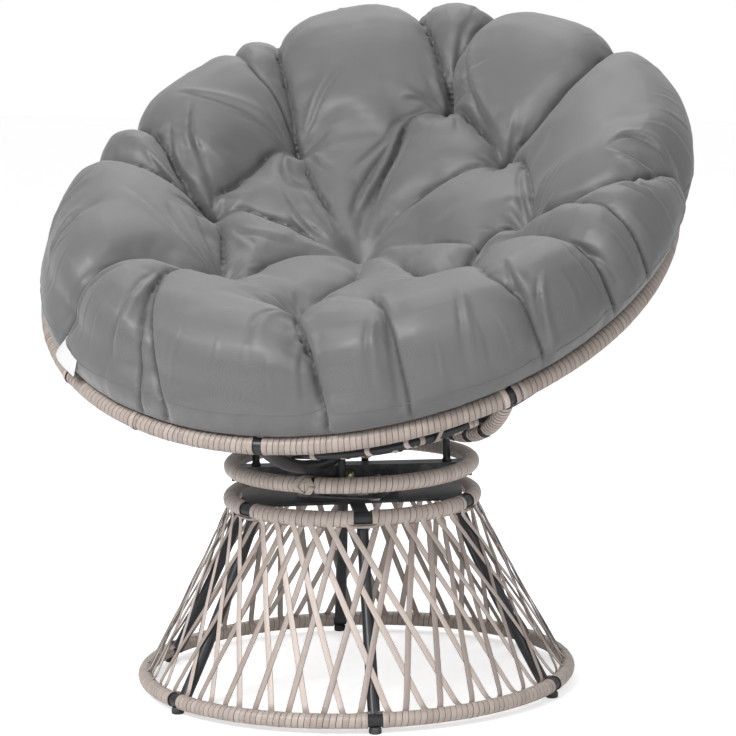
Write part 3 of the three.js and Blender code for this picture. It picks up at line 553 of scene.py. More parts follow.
@dataclass(frozen=True)
class FabricFinish(Finish):
    """Mid-grey satin cloth."""

    light: Colour = srgb(122, 122, 123)
    dark: Colour = srgb(99, 99, 100)
    threads: float = 520.0
    relief: float = 0.00012
    sheen: float = 0.35
    sheen_roughness: float = 0.45
    # creased: painted shade in the creases and round the tufts.
    creased: Colour = srgb(40, 40, 42)
    crease_shade_share: float = 0.72
    clouding: float = 0.14

    def dress(self, sketch: Sketch, shader: bpy.types.Node) -> None:
        """A weave under slow clouds of tone, with painted shade in the creases and round the tufts."""
        weave = SATIN_WEAVE.place(sketch, Place=self.place(sketch), Threads=self.threads)
        tone = sketch.sloped(weave.outputs["Thread"], 0.5, sketch.sloped(weave.outputs["Cloud"], 0.6))
        colour = sketch.blend(tone, self.dark, self.light)
        # Painted shade from the cover's crease value.
        crease = sketch.node("ShaderNodeAttribute", attribute_name="crease").outputs["Fac"]
        colour = sketch.blend(sketch.sloped(crease, self.crease_shade_share), colour, self.creased)
        sketch.link(colour, shader.inputs["Base Color"])
        rough = sketch.sloped(weave.outputs["Cloud"], self.clouding, self.roughness)
        sketch.link(rough, shader.inputs["Roughness"])
        shader.inputs["Sheen Weight"].default_value = self.sheen
        shader.inputs["Sheen Roughness"].default_value = self.sheen_roughness
        self.bump(sketch, shader, weave.outputs["Height"], self.relief)


@dataclass(frozen=True)
class FloorFinish(Finish):
    """The plain pale studio floor, bright enough to meet the white behind it."""

    glow: float = 0.55

    def dress(self, sketch: Sketch, shader: bpy.types.Node) -> None:
        """Nearly white, with a faint cloud."""
        cloud = sketch.noise(self.place(sketch), 1.5)
        sketch.link(sketch.blend(cloud, srgb(248, 248, 248), srgb(252, 252, 252)), shader.inputs["Base Color"])
        seen = sketch.node("ShaderNodeLightPath").outputs["Is Camera Ray"]
        glow = sketch.blend(seen, (0.0, 0.0, 0.0, 1.0), (1.0, 1.0, 1.0, 1.0))
        sketch.link(glow, shader.inputs["Emission Color"])
        shader.inputs["Emission Strength"].default_value = self.glow


WICKER = WickerFinish("wicker_strip", Slot.WICKER, 0.22)
STEEL = SteelFinish("charcoal_steel", Slot.STEEL, 0.27, specular=0.55)
YELLOW_ZINC = ZincFinish(
    "yellow_zinc", Slot.ZINC, 0.2, 1.0, pale=srgb(226, 220, 178), deep=srgb(186, 170, 110)
)
PLAIN_ZINC = ZincFinish(
    "plain_zinc", Slot.ZINC, 0.2, 1.0, pale=srgb(205, 206, 208), deep=srgb(168, 170, 173)
)
RUBBER = GlideFinish("glide_rubber", Slot.GLIDE)
SATIN = FabricFinish("satin_cover", Slot.FABRIC, 0.33, 0.18, 0.6)
BINDING = FabricFinish(
    "seam_binding", Slot.FABRIC, 0.42, 0.0, 0.45, srgb(120, 121, 122), srgb(100, 101, 102), 700.0, 0.0002, 0.25
)
LABEL = FabricFinish(
    "label_cloth", Slot.FABRIC, 0.6, 0.0, 0.4, srgb(240, 240, 240), srgb(226, 226, 226), 700.0, 0.0001, 0.1
)
FLOOR = FloorFinish("studio_floor", None, 0.75, 0.0, 0.2)


def polar(radius: Points | float, angle: Points | float, height: Points | float) -> Points:
    """Points at a distance from the Z axis, at an angle from the front (-Y) towards +X.

    Args:
        radius: distances from the axis.
        angle: angles in radians.
        height: heights.

    Returns:
        An array with three numbers a point.
    """
    radius, angle, height = np.broadcast_arrays(radius, angle, height)
    return np.stack([radius * np.sin(angle), -radius * np.cos(angle), height], axis=-1).astype(float)


def heading(angle: Points | float) -> Points:
    """The level direction at an angle from +X, in which a ring's own angle grows."""
    angle = np.asarray(angle, dtype=float)
    return np.stack([np.cos(angle), np.sin(angle), np.zeros_like(angle)], axis=-1)


def unit(vectors: Points) -> Points:
    """The vectors at length 1."""
    return vectors / np.maximum(np.linalg.norm(vectors, axis=-1, keepdims=True), 1e-12)


@dataclass(frozen=True)
class Placement:
    """Where a sub-assembly's own frame stands in the row frame."""

    origin: tuple[float, float, float]
    tilt: float = 0.0

    def matrix(self) -> Matrix:
        """The placement as a matrix."""
        return Matrix.Translation(self.origin) @ Matrix.Rotation(self.tilt, 4, "X")

    def move(self, points: Points) -> Points:
        """Points of the own frame in the row frame."""
        spin = np.array(Matrix.Rotation(self.tilt, 3, "X"))
        return points @ spin.T + np.array(self.origin)


ROW_FRAME = Placement((0.0, 0.0, 0.0))


class Shape:
    """Points, faces and the strip coordinates of a mesh that is being built."""

    def __init__(self) -> None:
        """Starts empty."""
        self.points: list[Points] = []
        self.faces: list[tuple[int, ...]] = []
        self.strip: list[Points] = []
        self.tone: list[Points] = []
        self.count = 0

    def grid(
        self,
        rows: Points,
        ring: bool = False,
        tube: bool = True,
        strip: Points | None = None,
        tone: float | Points = 0.5,
        caps: bool = False,
    ) -> None:
        """Adds a sheet of quads through rows of points.

        Args:
            rows: an array of rows, points and coordinates.
            ring: whether the last row joins the first.
            tube: whether each row is closed.
            strip: length along and place across for each point.
            tone: how light it is, for all or for each point.
            caps: whether the two ends are closed.
        """
        count, sides = rows.shape[:2]
        i = np.arange(count if ring else count - 1)[:, None]
        j = np.arange(sides if tube else sides - 1)[None, :]
        a = i * sides + j
        b = i * sides + (j + 1) % sides
        c = ((i + 1) % count) * sides + (j + 1) % sides
        d = ((i + 1) % count) * sides + j
        quads = np.stack([a, b, c, d], axis=-1).reshape(-1, 4) + self.count
        self.faces += [tuple(quad) for quad in quads.tolist()]
        if caps:
            first, last = self.count, self.count + count * sides
            self.faces.append(tuple(range(first, first + sides))[::-1])
            self.faces.append(tuple(range(last - sides, last)))
        flat = rows.reshape(-1, 3)
        self.points.append(flat)
        self.strip.append(np.zeros((len(flat), 2)) if strip is None else strip.reshape(-1, 2))
        self.tone.append(np.broadcast_to(tone, (len(flat),)))
        self.count += len(flat)

    def mesh(self, name: str, placement: Placement) -> bpy.types.Mesh:
        """The finished mesh.

        Args:
            name: the mesh's name.
            placement: where the points' frame stands.

        Returns:
            The mesh in the row frame.
        """
        made = bpy.data.meshes.new(name)
        made.from_pydata(placement.move(np.concatenate(self.points)).tolist(), [], self.faces)
        made.validate()
        strip = np.concatenate(self.strip)
        corners = np.zeros(len(made.loops), dtype=np.int32)
        made.loops.foreach_get("vertex_index", corners)
        layer = made.uv_layers.new(name="strip")
        layer.data.foreach_set("uv", strip[corners].astype(np.float32).ravel())
        # Point tone: random tone with painted light and painted shade for each lacing direction and ring.
        tones = made.attributes.new("tone_and_painted_light", "FLOAT", "POINT")
        tones.data.foreach_set("value", np.concatenate(self.tone).astype(np.float32))
        made.polygons.foreach_set("use_smooth", np.ones(len(made.polygons), dtype=bool))
        return made

    def piece(
        self,
        name: str,
        placement: Placement,
        finish: Finish,
        body: Body,
        replaces: Sequence[str] = (),
        crease: float | None = None,
    ) -> bpy.types.Object:
        """A piece of the chair, in the scene and riding on its body.

        Args:
            name: its name.
            placement: where the points' frame stands.
            finish: what it is made of.
            body: the body that it rides on.
            replaces: the nodes that it stands for.
            crease: edges sharper than this angle in degrees stay sharp.

        Returns:
            The object.
        """
        mesh = self.mesh(name, placement)
        mesh.materials.append(finish.material())
        if crease is not None:
            sharpen(mesh, math.radians(crease))
        piece = bpy.data.objects.new(name, mesh)
        bpy.context.scene.collection.objects.link(piece)
        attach(piece, body.value)
        if replaces:
            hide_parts(*replaces)
        log.info("%s: %d points, %d faces", name, len(mesh.vertices), len(mesh.polygons))
        return piece


def sharpen(mesh: bpy.types.Mesh, angle: float) -> None:
    """Marks edges sharper than an angle."""
    work = bmesh.new()
    work.from_mesh(mesh)
    for edge in work.edges:
        edge.smooth = not (edge.is_manifold and edge.calc_face_angle(0.0) > angle)
    work.to_mesh(mesh)
    work.free()


def repaint(nodes: Sequence[str], finish: Finish) -> None:
    """Gives carried-over nodes a finish in their own slots."""
    for name in nodes:
        for place in frame["nodes"][name].material_slots:
            place.link = "OBJECT"
            place.material = finish.material()
        log.info("%s: repainted with %s", name, finish.name)


@dataclass(frozen=True)
class Course:
    """The middle line of a tube, with two directions square to it at each point."""

    points: Points
    first: Points
    second: Points
    closed: bool = False

    @staticmethod
    def through(points: Points, side: Points, closed: bool = False) -> "Course":
        """A course through points, with one fixed sideways direction.

        Args:
            points: the points.
            side: a direction roughly square to the line.
            closed: whether the line closes.

        Returns:
            The course.
        """
        around = np.roll(points, -1, axis=0) - np.roll(points, 1, axis=0)
        forward = unit(around if closed else np.gradient(points, axis=0))
        first = unit(side - forward * np.sum(side * forward, axis=-1, keepdims=True))
        return Course(points, first, np.cross(forward, first), closed)

    def length(self) -> float:
        """How long the line is."""
        return float(self.lengths()[-1])

    def lengths(self) -> Points:
        """The length up to each point."""
        return np.concatenate([[0.0], np.cumsum(np.linalg.norm(np.diff(self.points, axis=0), axis=1))])

    def at(self, places: Points) -> tuple[Points, Points, Points]:
        """The middle and the two directions at lengths along the line.

        Args:
            places: lengths from the start.

        Returns:
            The middles, first directions and second directions.
        """
        known = self.lengths()
        flat = np.clip(places.ravel(), 0.0, known[-1])
        read = [
            np.stack([np.interp(flat, known, values[:, k]) for k in range(3)], axis=-1)
            for values in (self.points, self.first, self.second)
        ]
        shape = (*places.shape, 3)
        return read[0].reshape(shape), unit(read[1]).reshape(shape), unit(read[2]).reshape(shape)

    def tube(self, radius: float | Points, sides: int = 24) -> Points:
        """Round sections along the line.

        Args:
            radius: the tube's radius, for all or for each point.
            sides: points in a section.

        Returns:
            Rows of points for a grid.
        """
        turns = TURN * np.arange(sides) / sides
        reach = np.broadcast_to(radius, (len(self.points),))[:, None, None]
        spokes = (
            self.first[:, None, :] * np.cos(turns)[None, :, None]
            + self.second[:, None, :] * np.sin(turns)[None, :, None]
        )
        return self.points[:, None, :] + reach * spokes


@dataclass(frozen=True)
class Winding:
    """Flat strip wound closely round a tube, each turn beside the last."""

    core: float
    crown: float
    pitch: float
    cover: float = 0.985
    tones: tuple[float, float] = (0.66, 0.88)
    steps: int = 18
    lift: float = 0.00012
    wander: float = 0.035
    grain_shift: float = 3.7
    profile: Pairs = (
        *((-0.5, 0.45), (-0.478, 0.8), (-0.445, 0.97), (-0.25, 1.0)),
        *((0.25, 1.0), (0.445, 0.97), (0.478, 0.8), (0.5, 0.45)),
    )

    def wind(self, shape: Shape, course: Course, seed: int) -> None:
        """Winds the strip along a whole course.

        Args:
            shape: what the strip is added to.
            course: the tube's middle line.
            seed: picks the small differences between turns.
        """
        rng = np.random.default_rng(seed)
        turns = max(2, round(course.length() / self.pitch))
        pitch = course.length() / turns
        share = np.arange((turns - 1) * self.steps + 1) / self.steps
        known = np.arange(turns + 1)
        wander = np.cumsum(rng.normal(0.0, self.wander, turns + 1))
        wander -= np.linspace(0.0, wander[-1], turns + 1)
        places = (share + 0.5 + 0.25 * np.interp(share, known, wander)) * pitch
        height = np.interp(share, known, rng.normal(0.0, 1.0, turns + 1)) * self.lift
        across, rise = np.array(self.profile).T
        middle, first, second = course.at(places[:, None] + across[None, :] * pitch * self.cover)
        angle = (TURN * share)[:, None, None]
        reach = (self.core + (self.crown - self.core + height[:, None]) * rise[None, :])[..., None]
        rows = middle + reach * (first * np.cos(angle) + second * np.sin(angle))
        along = share * TURN * self.crown + seed * self.grain_shift
        strip = np.stack(np.broadcast_arrays(along[:, None], across[None, :]), axis=-1)
        tone = np.interp(share, known, rng.uniform(*self.tones, turns + 1))
        shape.grid(rows, tube=False, strip=strip, tone=np.repeat(tone, len(across)))


@dataclass(frozen=True)
class Strip:
    """A flat strip with softened edges that follows a path."""

    width: float
    thickness: float = 0.0011

    def outline(self) -> Points:
        """The section: place across and height, as lengths."""
        a, b = self.width / 2, self.thickness / 2
        corners = [(-a, -0.4 * b), (-0.86 * a, -b), (0.86 * a, -b), (a, -0.4 * b)]
        crown = [(a, 0.4 * b), (0.86 * a, b), (0.0, 1.15 * b), (-0.86 * a, b), (-a, 0.4 * b)]
        return np.array(corners + crown)

    def follow(self, shape: Shape, path: Points, sideways: Points, tone: float | Points) -> None:
        """Lays a closed strip along a path.

        Args:
            shape: what the strip is added to.
            path: the strip's middle line, closed.
            sideways: the direction that its width follows, for all or for each point.
            tone: how light it is, for all or for each point.
        """
        course = Course.through(path, np.broadcast_to(sideways, path.shape), closed=True)
        section = self.outline()
        rows = (
            path[:, None, :]
            + course.first[:, None, :] * section[None, :, 0, None]
            + course.second[:, None, :] * section[None, :, 1, None]
        )
        flat = section[:, 0] / self.width
        strip = np.stack(np.broadcast_arrays(course.lengths()[:, None], flat[None, :]), axis=-1)
        tones = np.repeat(np.broadcast_to(tone, (len(path),)), len(section))
        shape.grid(rows, ring=True, strip=strip, tone=tones)


def smoothed(path: Points, passes: int) -> Points:
    """A closed path with its corners rounded."""
    for _ in range(passes):
        path = 0.25 * np.roll(path, 1, axis=0) + 0.5 * path + 0.25 * np.roll(path, -1, axis=0)
    return path


def round_side(line: Points) -> Points:
    """The level direction round the Z axis at each point of a line."""
    return heading(np.arctan2(line[:, 0], -line[:, 1]))


@dataclass(frozen=True)
class Ring:
    """A level ring of tube."""

    radius: float
    height: float
    tube: float
    wrap: float
    # tones: the range of the turns' tone, which the base, turntable and bowl set per ring as painted light or
    # painted shade.
    tones: tuple[float, float] = (0.66, 0.88)

    def course(self, start: float = 0.0, end: float = TURN) -> Course:
        """The tube's middle line between two angles, closed if they are a whole turn apart."""
        closed = abs(end - start - TURN) < 1e-9
        angles = np.linspace(start, end, max(8, round((end - start) * self.radius / COURSE_STEP)) + 1)
        angles = angles[:-1] if closed else angles
        upward = np.tile([0.0, 0.0, 1.0], (len(angles), 1))
        return Course(polar(self.radius, angles, self.height), polar(1.0, angles, 0.0), upward, closed)

    def loop(self, turn: Points, angle: Points, lift: float) -> Points:
        """Points round the tube.

        Args:
            turn: angles round the tube, 0 outwards and a quarter turn upwards.
            angle: angles along the ring.
            lift: how far the points lie outside the wrap.

        Returns:
            The points.
        """
        reach = self.wrap + lift
        return polar(self.radius + reach * np.cos(turn), angle, self.height + reach * np.sin(turn))

    def tie(
        self, shape: Shape, angle: float, width: float, lift: float, tone: float, slant: float = 0.0012
    ) -> None:
        """One loop of strip round the ring.

        Args:
            shape: what the loop is added to.
            angle: where it is on the ring.
            width: how wide the strip is.
            lift: how far its middle lies outside the ring's wrap.
            tone: how light it is.
            slant: how far the strip runs along the ring as it goes round.
        """
        turns = TURN * np.arange(36) / 36
        line = self.loop(turns, angle + slant / self.radius * np.sin(turns + 0.8), lift)
        Strip(width).follow(shape, line, heading(angle), tone)

    def lay(
        self, shape: Shape, line: tuple[Points, Points, Points], width: float, wide: Points, drop: float
    ) -> None:
        """A stretch of strip that lies on the ring, with its own back under it.

        Args:
            shape: what the stretch is added to.
            line: its angles round the tube, its angles along the ring, and its lifts.
            width: how wide the strip is.
            wide: the direction of its width at each point.
            drop: how far the back lies under it.
        """
        turn, angle, lift = line
        path = np.concatenate([self.loop(turn, angle, lift), self.loop(turn, angle, lift - drop)[::-1]])
        Strip(width).follow(shape, path, np.concatenate([wide, wide[::-1]]), OVERLAP_TONE)

    def wind(self, shape: Shape, start: float, end: float, pitch: float, seed: int) -> None:
        """A stretch of winding that ends in a straight turn on either side.

        Args:
            shape: what the strip is added to.
            start: the angle where it starts.
            end: the angle where it ends.
            pitch: the strip's width with its gap.
            seed: picks the small differences between turns.
        """
        Winding(self.tube, self.wrap, pitch, tones=self.tones).wind(shape, self.course(start, end), seed)
        for angle in (start + 0.5 * pitch / self.radius, end - 0.5 * pitch / self.radius):
            self.tie(shape, angle, 0.95 * pitch, -0.0003, sum(self.tones) / 2, 0.0)


def tube_piece(
    name: str,
    course: Course,
    radius: float | Points,
    placement: Placement,
    body: Body,
    replaces: str,
    sides: int = 24,
) -> None:
    """A round steel tube along a course.

    Args:
        name: the piece's name.
        course: its middle line.
        radius: its radius, for all or for each point.
        placement: where its frame stands.
        body: the body that it rides on.
        replaces: the node that it stands for.
        sides: points in a section.
    """
    shape = Shape()
    shape.grid(course.tube(radius, sides), ring=course.closed, caps=not course.closed)
    shape.piece(name, placement, STEEL, body, [replaces], crease=50)


def turned(profile: Sequence[tuple[float, float]], sides: int = 28) -> Points:
    """A profile of radius and height turned about Z.

    Args:
        profile: radius and height, from low to high.
        sides: points in a turn.

    Returns:
        Rows of points for a grid.
    """
    angles = TURN * np.arange(sides) / sides
    return np.stack([polar(max(radius, 1e-5), angles, height) for radius, height in profile])


@dataclass
class Base:
    """The laced cone: two wrapped rings on six legs, with its plate and bearing."""

    placement: Placement
    # The floor ring's wound tones are lowered as painted shade, the top ring's raised as painted light against
    # the shade under the bowl.
    floor: Ring = Ring(0.310, 0.0183, 0.0093, 0.0108, (0.48, 0.72))
    top: Ring = Ring(0.177, 0.2765, 0.0102, 0.0117, (0.78, 1.0))
    first_leg: float = math.radians(24.7)
    legs: int = 6
    floor_band: float = 0.0196
    top_band: float = 0.024
    leg_top: float = 0.0083
    leg_foot: float = 0.0088
    leg_inset: float = 0.0098
    leg_bow: float = 0.004
    leg_drop: float = 0.0017
    leg_rise: float = 0.0012
    foot_radius: float = 0.009
    loops_per_leg: int = 6
    down_loops: int = 3
    up_loops: int = 2
    top_margin: float = math.radians(8.5)
    top_advance: float = math.radians(2.5)
    floor_margin: float = math.radians(6.0)
    floor_advance: float = math.radians(2.4)
    lace: Strip = Strip(0.0088, 0.0012)
    weave: float = 0.00085
    loop_lift: float = -0.0011
    turn_lift: float = 0.0017
    turn_share: float = 0.09
    run_steps: int = 28
    loop_steps: int = 20
    glide: Pairs = (
        *((0.0, 0.0), (0.86, 0.0), (0.97, 0.0616), (1.0, 0.1642)),
        *((1.0, 0.62), (0.95, 0.78), (0.8, 0.96), (0.0, 1.0)),
    )

    def leg_angles(self) -> list[float]:
        """The angle of each leg."""
        return [self.first_leg + TURN * i / self.legs for i in range(self.legs)]

    def cone(self) -> tuple[float, float, float]:
        """The downward line between the rings (radius and height) and the angle of its outward side."""
        run, fall = self.floor.radius - self.top.radius, self.floor.height - self.top.height
        length = math.hypot(run, fall)
        return run / length, fall / length, math.atan2(run / length, -fall / length)

    def leg_course(self, angle: float) -> Course:
        """The bowed line of a leg, inside the line between the rings."""
        along_r, along_z, turn = self.cone()
        along, out = np.array([along_r, along_z]), np.array([math.cos(turn), math.sin(turn)])
        slide = self.leg_inset * out[1] / -along_z
        top, floor = ([ring.radius, ring.height] - self.leg_inset * out for ring in (self.top, self.floor))
        start = top + (self.leg_drop / -along_z - slide) * along
        end = floor - (self.leg_rise / -along_z + slide) * along
        share = np.linspace(0.0, 1.0, 24)[:, None]
        line = start + (end - start) * share - 4 * self.leg_bow * share * (1 - share) * out
        return Course.through(polar(line[:, 0], angle, line[:, 1]), heading(angle))

    def build_rings(self) -> None:
        """Both rings, their wraps and the bare bands at the legs."""
        rings = (
            ("floor_ring", self.floor, self.floor_band, "floor_ring_wrap", 0.0088, 21),
            ("base_top_ring", self.top, self.top_band, "top_ring_wrap", 0.0089, 43),
        )
        for node, ring, band, wrap, pitch, seed in rings:
            tube_piece(f"{node}_tube", ring.course(), ring.tube, self.placement, Body.BASE, node)
            margin = band / 2 / ring.radius
            shape = Shape()
            for i, angle in enumerate(self.leg_angles()):
                ring.wind(shape, angle + margin, angle + TURN / self.legs - margin, pitch, seed + i)
            names = [f"{wrap}_{i + 1}" for i in range(self.legs)]
            shape.piece(f"{wrap}s", self.placement, WICKER, Body.BASE, names)

    def build_legs(self) -> None:
        """The six legs, and the turned glides with rounded feet under the floor ring."""
        top = self.floor.height - self.floor.tube * 0.92
        for i, angle in enumerate(self.leg_angles()):
            course = self.leg_course(angle)
            radius = np.linspace(self.leg_top, self.leg_foot, len(course.points))
            tube_piece(f"leg_tube_{i + 1}", course, radius, self.placement, Body.BASE, f"leg_{i + 1}", 28)
            shape = Shape()
            profile = [(self.foot_radius * reach, top * share) for reach, share in self.glide]
            shape.grid(turned(profile) + polar(self.floor.radius, angle, 0.0))
            shape.piece(f"glide_{i + 1}", self.placement, RUBBER, Body.BASE, [f"foot_{i + 1}"], crease=40)

    def loop_angle(self, number: int, margin: float) -> float:
        """The middle of a loop by its number round the ring."""
        sector, place = divmod(number, self.loops_per_leg)
        span = TURN / self.legs - 2 * margin
        return self.first_leg + sector * TURN / self.legs + margin + span * place / (self.loops_per_leg - 1)

    def run(self, start: Points, end: Points) -> Points:
        """A straight stretch between two points, both left out."""
        share = (np.arange(1, self.run_steps) / self.run_steps)[:, None]
        return start + (end - start) * share

    def strand(self) -> tuple[Points, Points]:
        """The whole strand of the lacing.

        Returns:
            Its path, and its tone with painted light and painted shade by direction.
        """
        turn = self.cone()[2]
        count = self.legs * self.loops_per_leg
        share = np.linspace(0.0, 1.0, self.loop_steps + 1)
        swing = 2 * share - 1
        bump = np.exp(-((share / self.turn_share) ** 2)) + np.exp(-(((1 - share) / self.turn_share) ** 2))
        lift = self.turn_lift * bump + self.loop_lift
        ends = []
        for i in range(count):
            number = i * (self.down_loops + self.up_loops)
            top = self.loop_angle(number, self.top_margin) + self.top_advance * swing
            low = self.loop_angle(number + self.down_loops, self.floor_margin) + self.floor_advance * swing
            over = self.top.loop(turn - TURN / 4 - TURN * share, top, lift)
            ends.append((over, self.floor.loop(turn + TURN / 4 - TURN * share, low, lift)))
        falling = [self.run(over[-1], under[0]) for over, under in ends]
        rising = [self.run(ends[i][1][-1], ends[(i + 1) % count][0][0]) for i in range(count)]
        self.interlace(falling, rising)
        path, tone = [], []
        for i, (over, under) in enumerate(ends):
            for parts, family in (((over, falling[i]), Family.FALLING), ((under, rising[i]), Family.RISING)):
                path += parts
                # Painted light on the falling stretches, painted shade on the rising ones.
                tone += [0.36 + 0.54 * family.value] * sum(map(len, parts))
        return smoothed(np.concatenate(path), 1), np.array(tone)

    def interlace(self, falling: list[Points], rising: list[Points]) -> None:
        """Moves the stretches of both directions over and under each other where they cross.

        Args:
            falling: stretches from the top ring down.
            rising: stretches from the floor ring up.
        """
        turn = self.cone()[2]

        def seen(run: Points) -> tuple[Points, Points, Points]:
            """Height, angle and radius along a stretch, from the floor up."""
            x, y, z = (run if run[0, 2] < run[-1, 2] else run[::-1]).T
            return z, np.unwrap(np.arctan2(x, -y)), np.hypot(x, y)

        levels = np.linspace(self.floor.height + 0.02, self.top.height - 0.02, 160)
        down, up = [seen(run) for run in falling], [seen(run) for run in rising]
        knots = [[[] for _ in down], [[] for _ in up]]
        for i, (z1, a1, r1) in enumerate(down):
            for k, (z2, a2, r2) in enumerate(up):
                gap = (np.interp(levels, z1, a1) - np.interp(levels, z2, a2) + math.pi) % TURN - math.pi
                for at in np.nonzero((gap[:-1] * gap[1:] < 0) & (np.abs(gap[:-1]) < 0.5))[0]:
                    level = float(levels[at])
                    half = (np.interp(level, z2, r2) - np.interp(level, z1, r1)) / 2
                    shift = half + (self.weave if (i + k) % 2 == 0 else -self.weave)
                    knots[0][i].append((level, shift))
                    knots[1][k].append((level, -shift))
        for runs, known in zip((falling, rising), knots):
            for run, places in zip(runs, known):
                height = run[:, 2]
                z, shift = np.array([(height.min(), 0.0), *sorted(places), (height.max(), 0.0)]).T
                moved = np.interp(height, z, shift)
                angle = np.arctan2(run[:, 0], -run[:, 1])
                run += polar(moved * math.cos(turn), angle, moved * math.sin(turn))

    def pass_legs(self, shape: Shape) -> None:
        """Where the strand runs on past a leg: under the top ring in front, over the floor ring behind."""
        turn = self.cone()[2]
        share = np.linspace(-1.0, 1.0, 30)
        for angle in self.leg_angles():
            for ring, band, start in (
                (self.top, self.top_band, turn - TURN / 4 + 0.25),
                (self.floor, self.floor_band, turn + TURN / 4 + 0.45),
            ):
                reach = (band / 2 + 0.008) / ring.radius
                line = (np.full(30, start), angle + reach * share, 0.0024 - 0.0036 * share**6)
                wide = np.tile(polar(-math.sin(start), angle, math.cos(start)), (30, 1))
                ring.lay(shape, line, 0.0068, wide, 0.0030)

    def build_lacing(self) -> None:
        """The woven strand between the rings."""
        path, tone = self.strand()
        shape = Shape()
        self.lace.follow(shape, path, round_side(path), tone)
        self.pass_legs(shape)
        shape.piece("base_lacing_strand", self.placement, WICKER, Body.BASE, ["base_lacing"])

    def build(self) -> None:
        """The whole base."""
        self.build_rings()
        self.build_legs()
        self.build_lacing()
        repaint(["base_plate"], STEEL)
        repaint(["bearing_lower_plate"], PLAIN_ZINC)


@dataclass
class Turntable:
    """What turns on the base: seat plate, crossbar, turning ring and posts."""

    placement: Placement
    # Its wound tones are raised as painted light against the shade that the bowl casts on it.
    ring: Ring = Ring(0.175, 0.3242, 0.0101, 0.0116, (0.78, 1.0))
    joint: float = math.radians(2.5)
    plate_top: float = 0.3033
    post: float = 0.0055
    nut_size: float = 1.35
    nut_places: Pairs = (
        *((0.006, -0.026), (0.049, -0.025)),
        *((0.065, -0.030), (-0.075, -0.010)),
    )
    nut_profiles: tuple[tuple[int, Pairs], ...] = (
        (28, ((0.0, 0.0), (0.0085, 0.0), (0.0085, 0.0012), (0.0, 0.0012))),
        (6, ((0.0, 0.0012), (0.0068, 0.0012), (0.0068, 0.0045), (0.0062, 0.005))),
        (28, ((0.0055, 0.005), (0.0054, 0.0068), (0.0046, 0.0088), (0.0030, 0.0101), (0.0, 0.0106))),
    )

    def build_ring(self) -> None:
        """The turning ring and its winding, which crosses itself where it ends."""
        ring = self.ring
        tube_piece("turning_ring_tube", ring.course(), ring.tube, self.placement, Body.SEAT, "turning_ring")
        shape = Shape()
        gap = 0.0022 / ring.radius
        ring.wind(shape, self.joint + gap, self.joint + TURN - gap, WOUND_PITCH, 77)
        self.cross_joint(shape, 0.013 / ring.radius)
        shape.piece("turning_ring_winding", self.placement, WICKER, Body.SEAT, ["turning_ring_wrap"])

    def cross_joint(self, shape: Shape, reach: float) -> None:
        """Lays the two ends of the strip across each other.

        Args:
            shape: what the ends are added to.
            reach: half the length that they cover, as an angle.
        """
        share = np.linspace(0.0, 1.0, 40)
        for side, lift in ((1, 0.0004), (-1, 0.0015)):
            angle = self.joint - 0.9 * reach + side * reach * (1.0 - 2.0 * share)
            for offset in (0.0, TURN / 2):
                line = (offset + TURN / 2 * share, angle, lift)
                self.ring.lay(shape, line, 0.0085, heading(angle), 0.0024)

    def build_posts(self) -> None:
        """Round posts with a welded collar at the foot."""
        radius = np.full(12, self.post)
        radius[0] *= 1.35
        for name in ("post_right", "post_left", "post_front", "post_back"):
            low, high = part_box(name)
            lift = np.linspace(low[2], high[2] - 0.002, 12)
            middle = [np.full(12, (a + b) / 2) for a, b in zip(low[:2], high[:2])]
            course = Course.through(np.stack([*middle, lift], axis=-1), heading(0.0))
            tube_piece(f"{name}_tube", course, radius, ROW_FRAME, Body.SEAT, name)

    def build_nuts(self) -> None:
        """Domed nuts with washers on the seat plate, the front one larger and yellow."""
        for i, (x, y) in enumerate(self.nut_places):
            shape = Shape()
            size, finish = (1.0, PLAIN_ZINC) if i else (self.nut_size, YELLOW_ZINC)
            for sides, profile in self.nut_profiles:
                shape.grid(turned(profile, sides) * size + np.array([x, y, self.plate_top]), caps=True)
            shape.piece(f"seat_plate_nut_{i + 1}", self.placement, finish, Body.SEAT, crease=30)

    def build(self) -> None:
        """The whole turntable."""
        self.build_ring()
        self.build_posts()
        self.build_nuts()
        repaint(["seat_plate", "seat_crossbar"], STEEL)
        repaint(["bearing_upper_plate", "pivot_bolt"], PLAIN_ZINC)


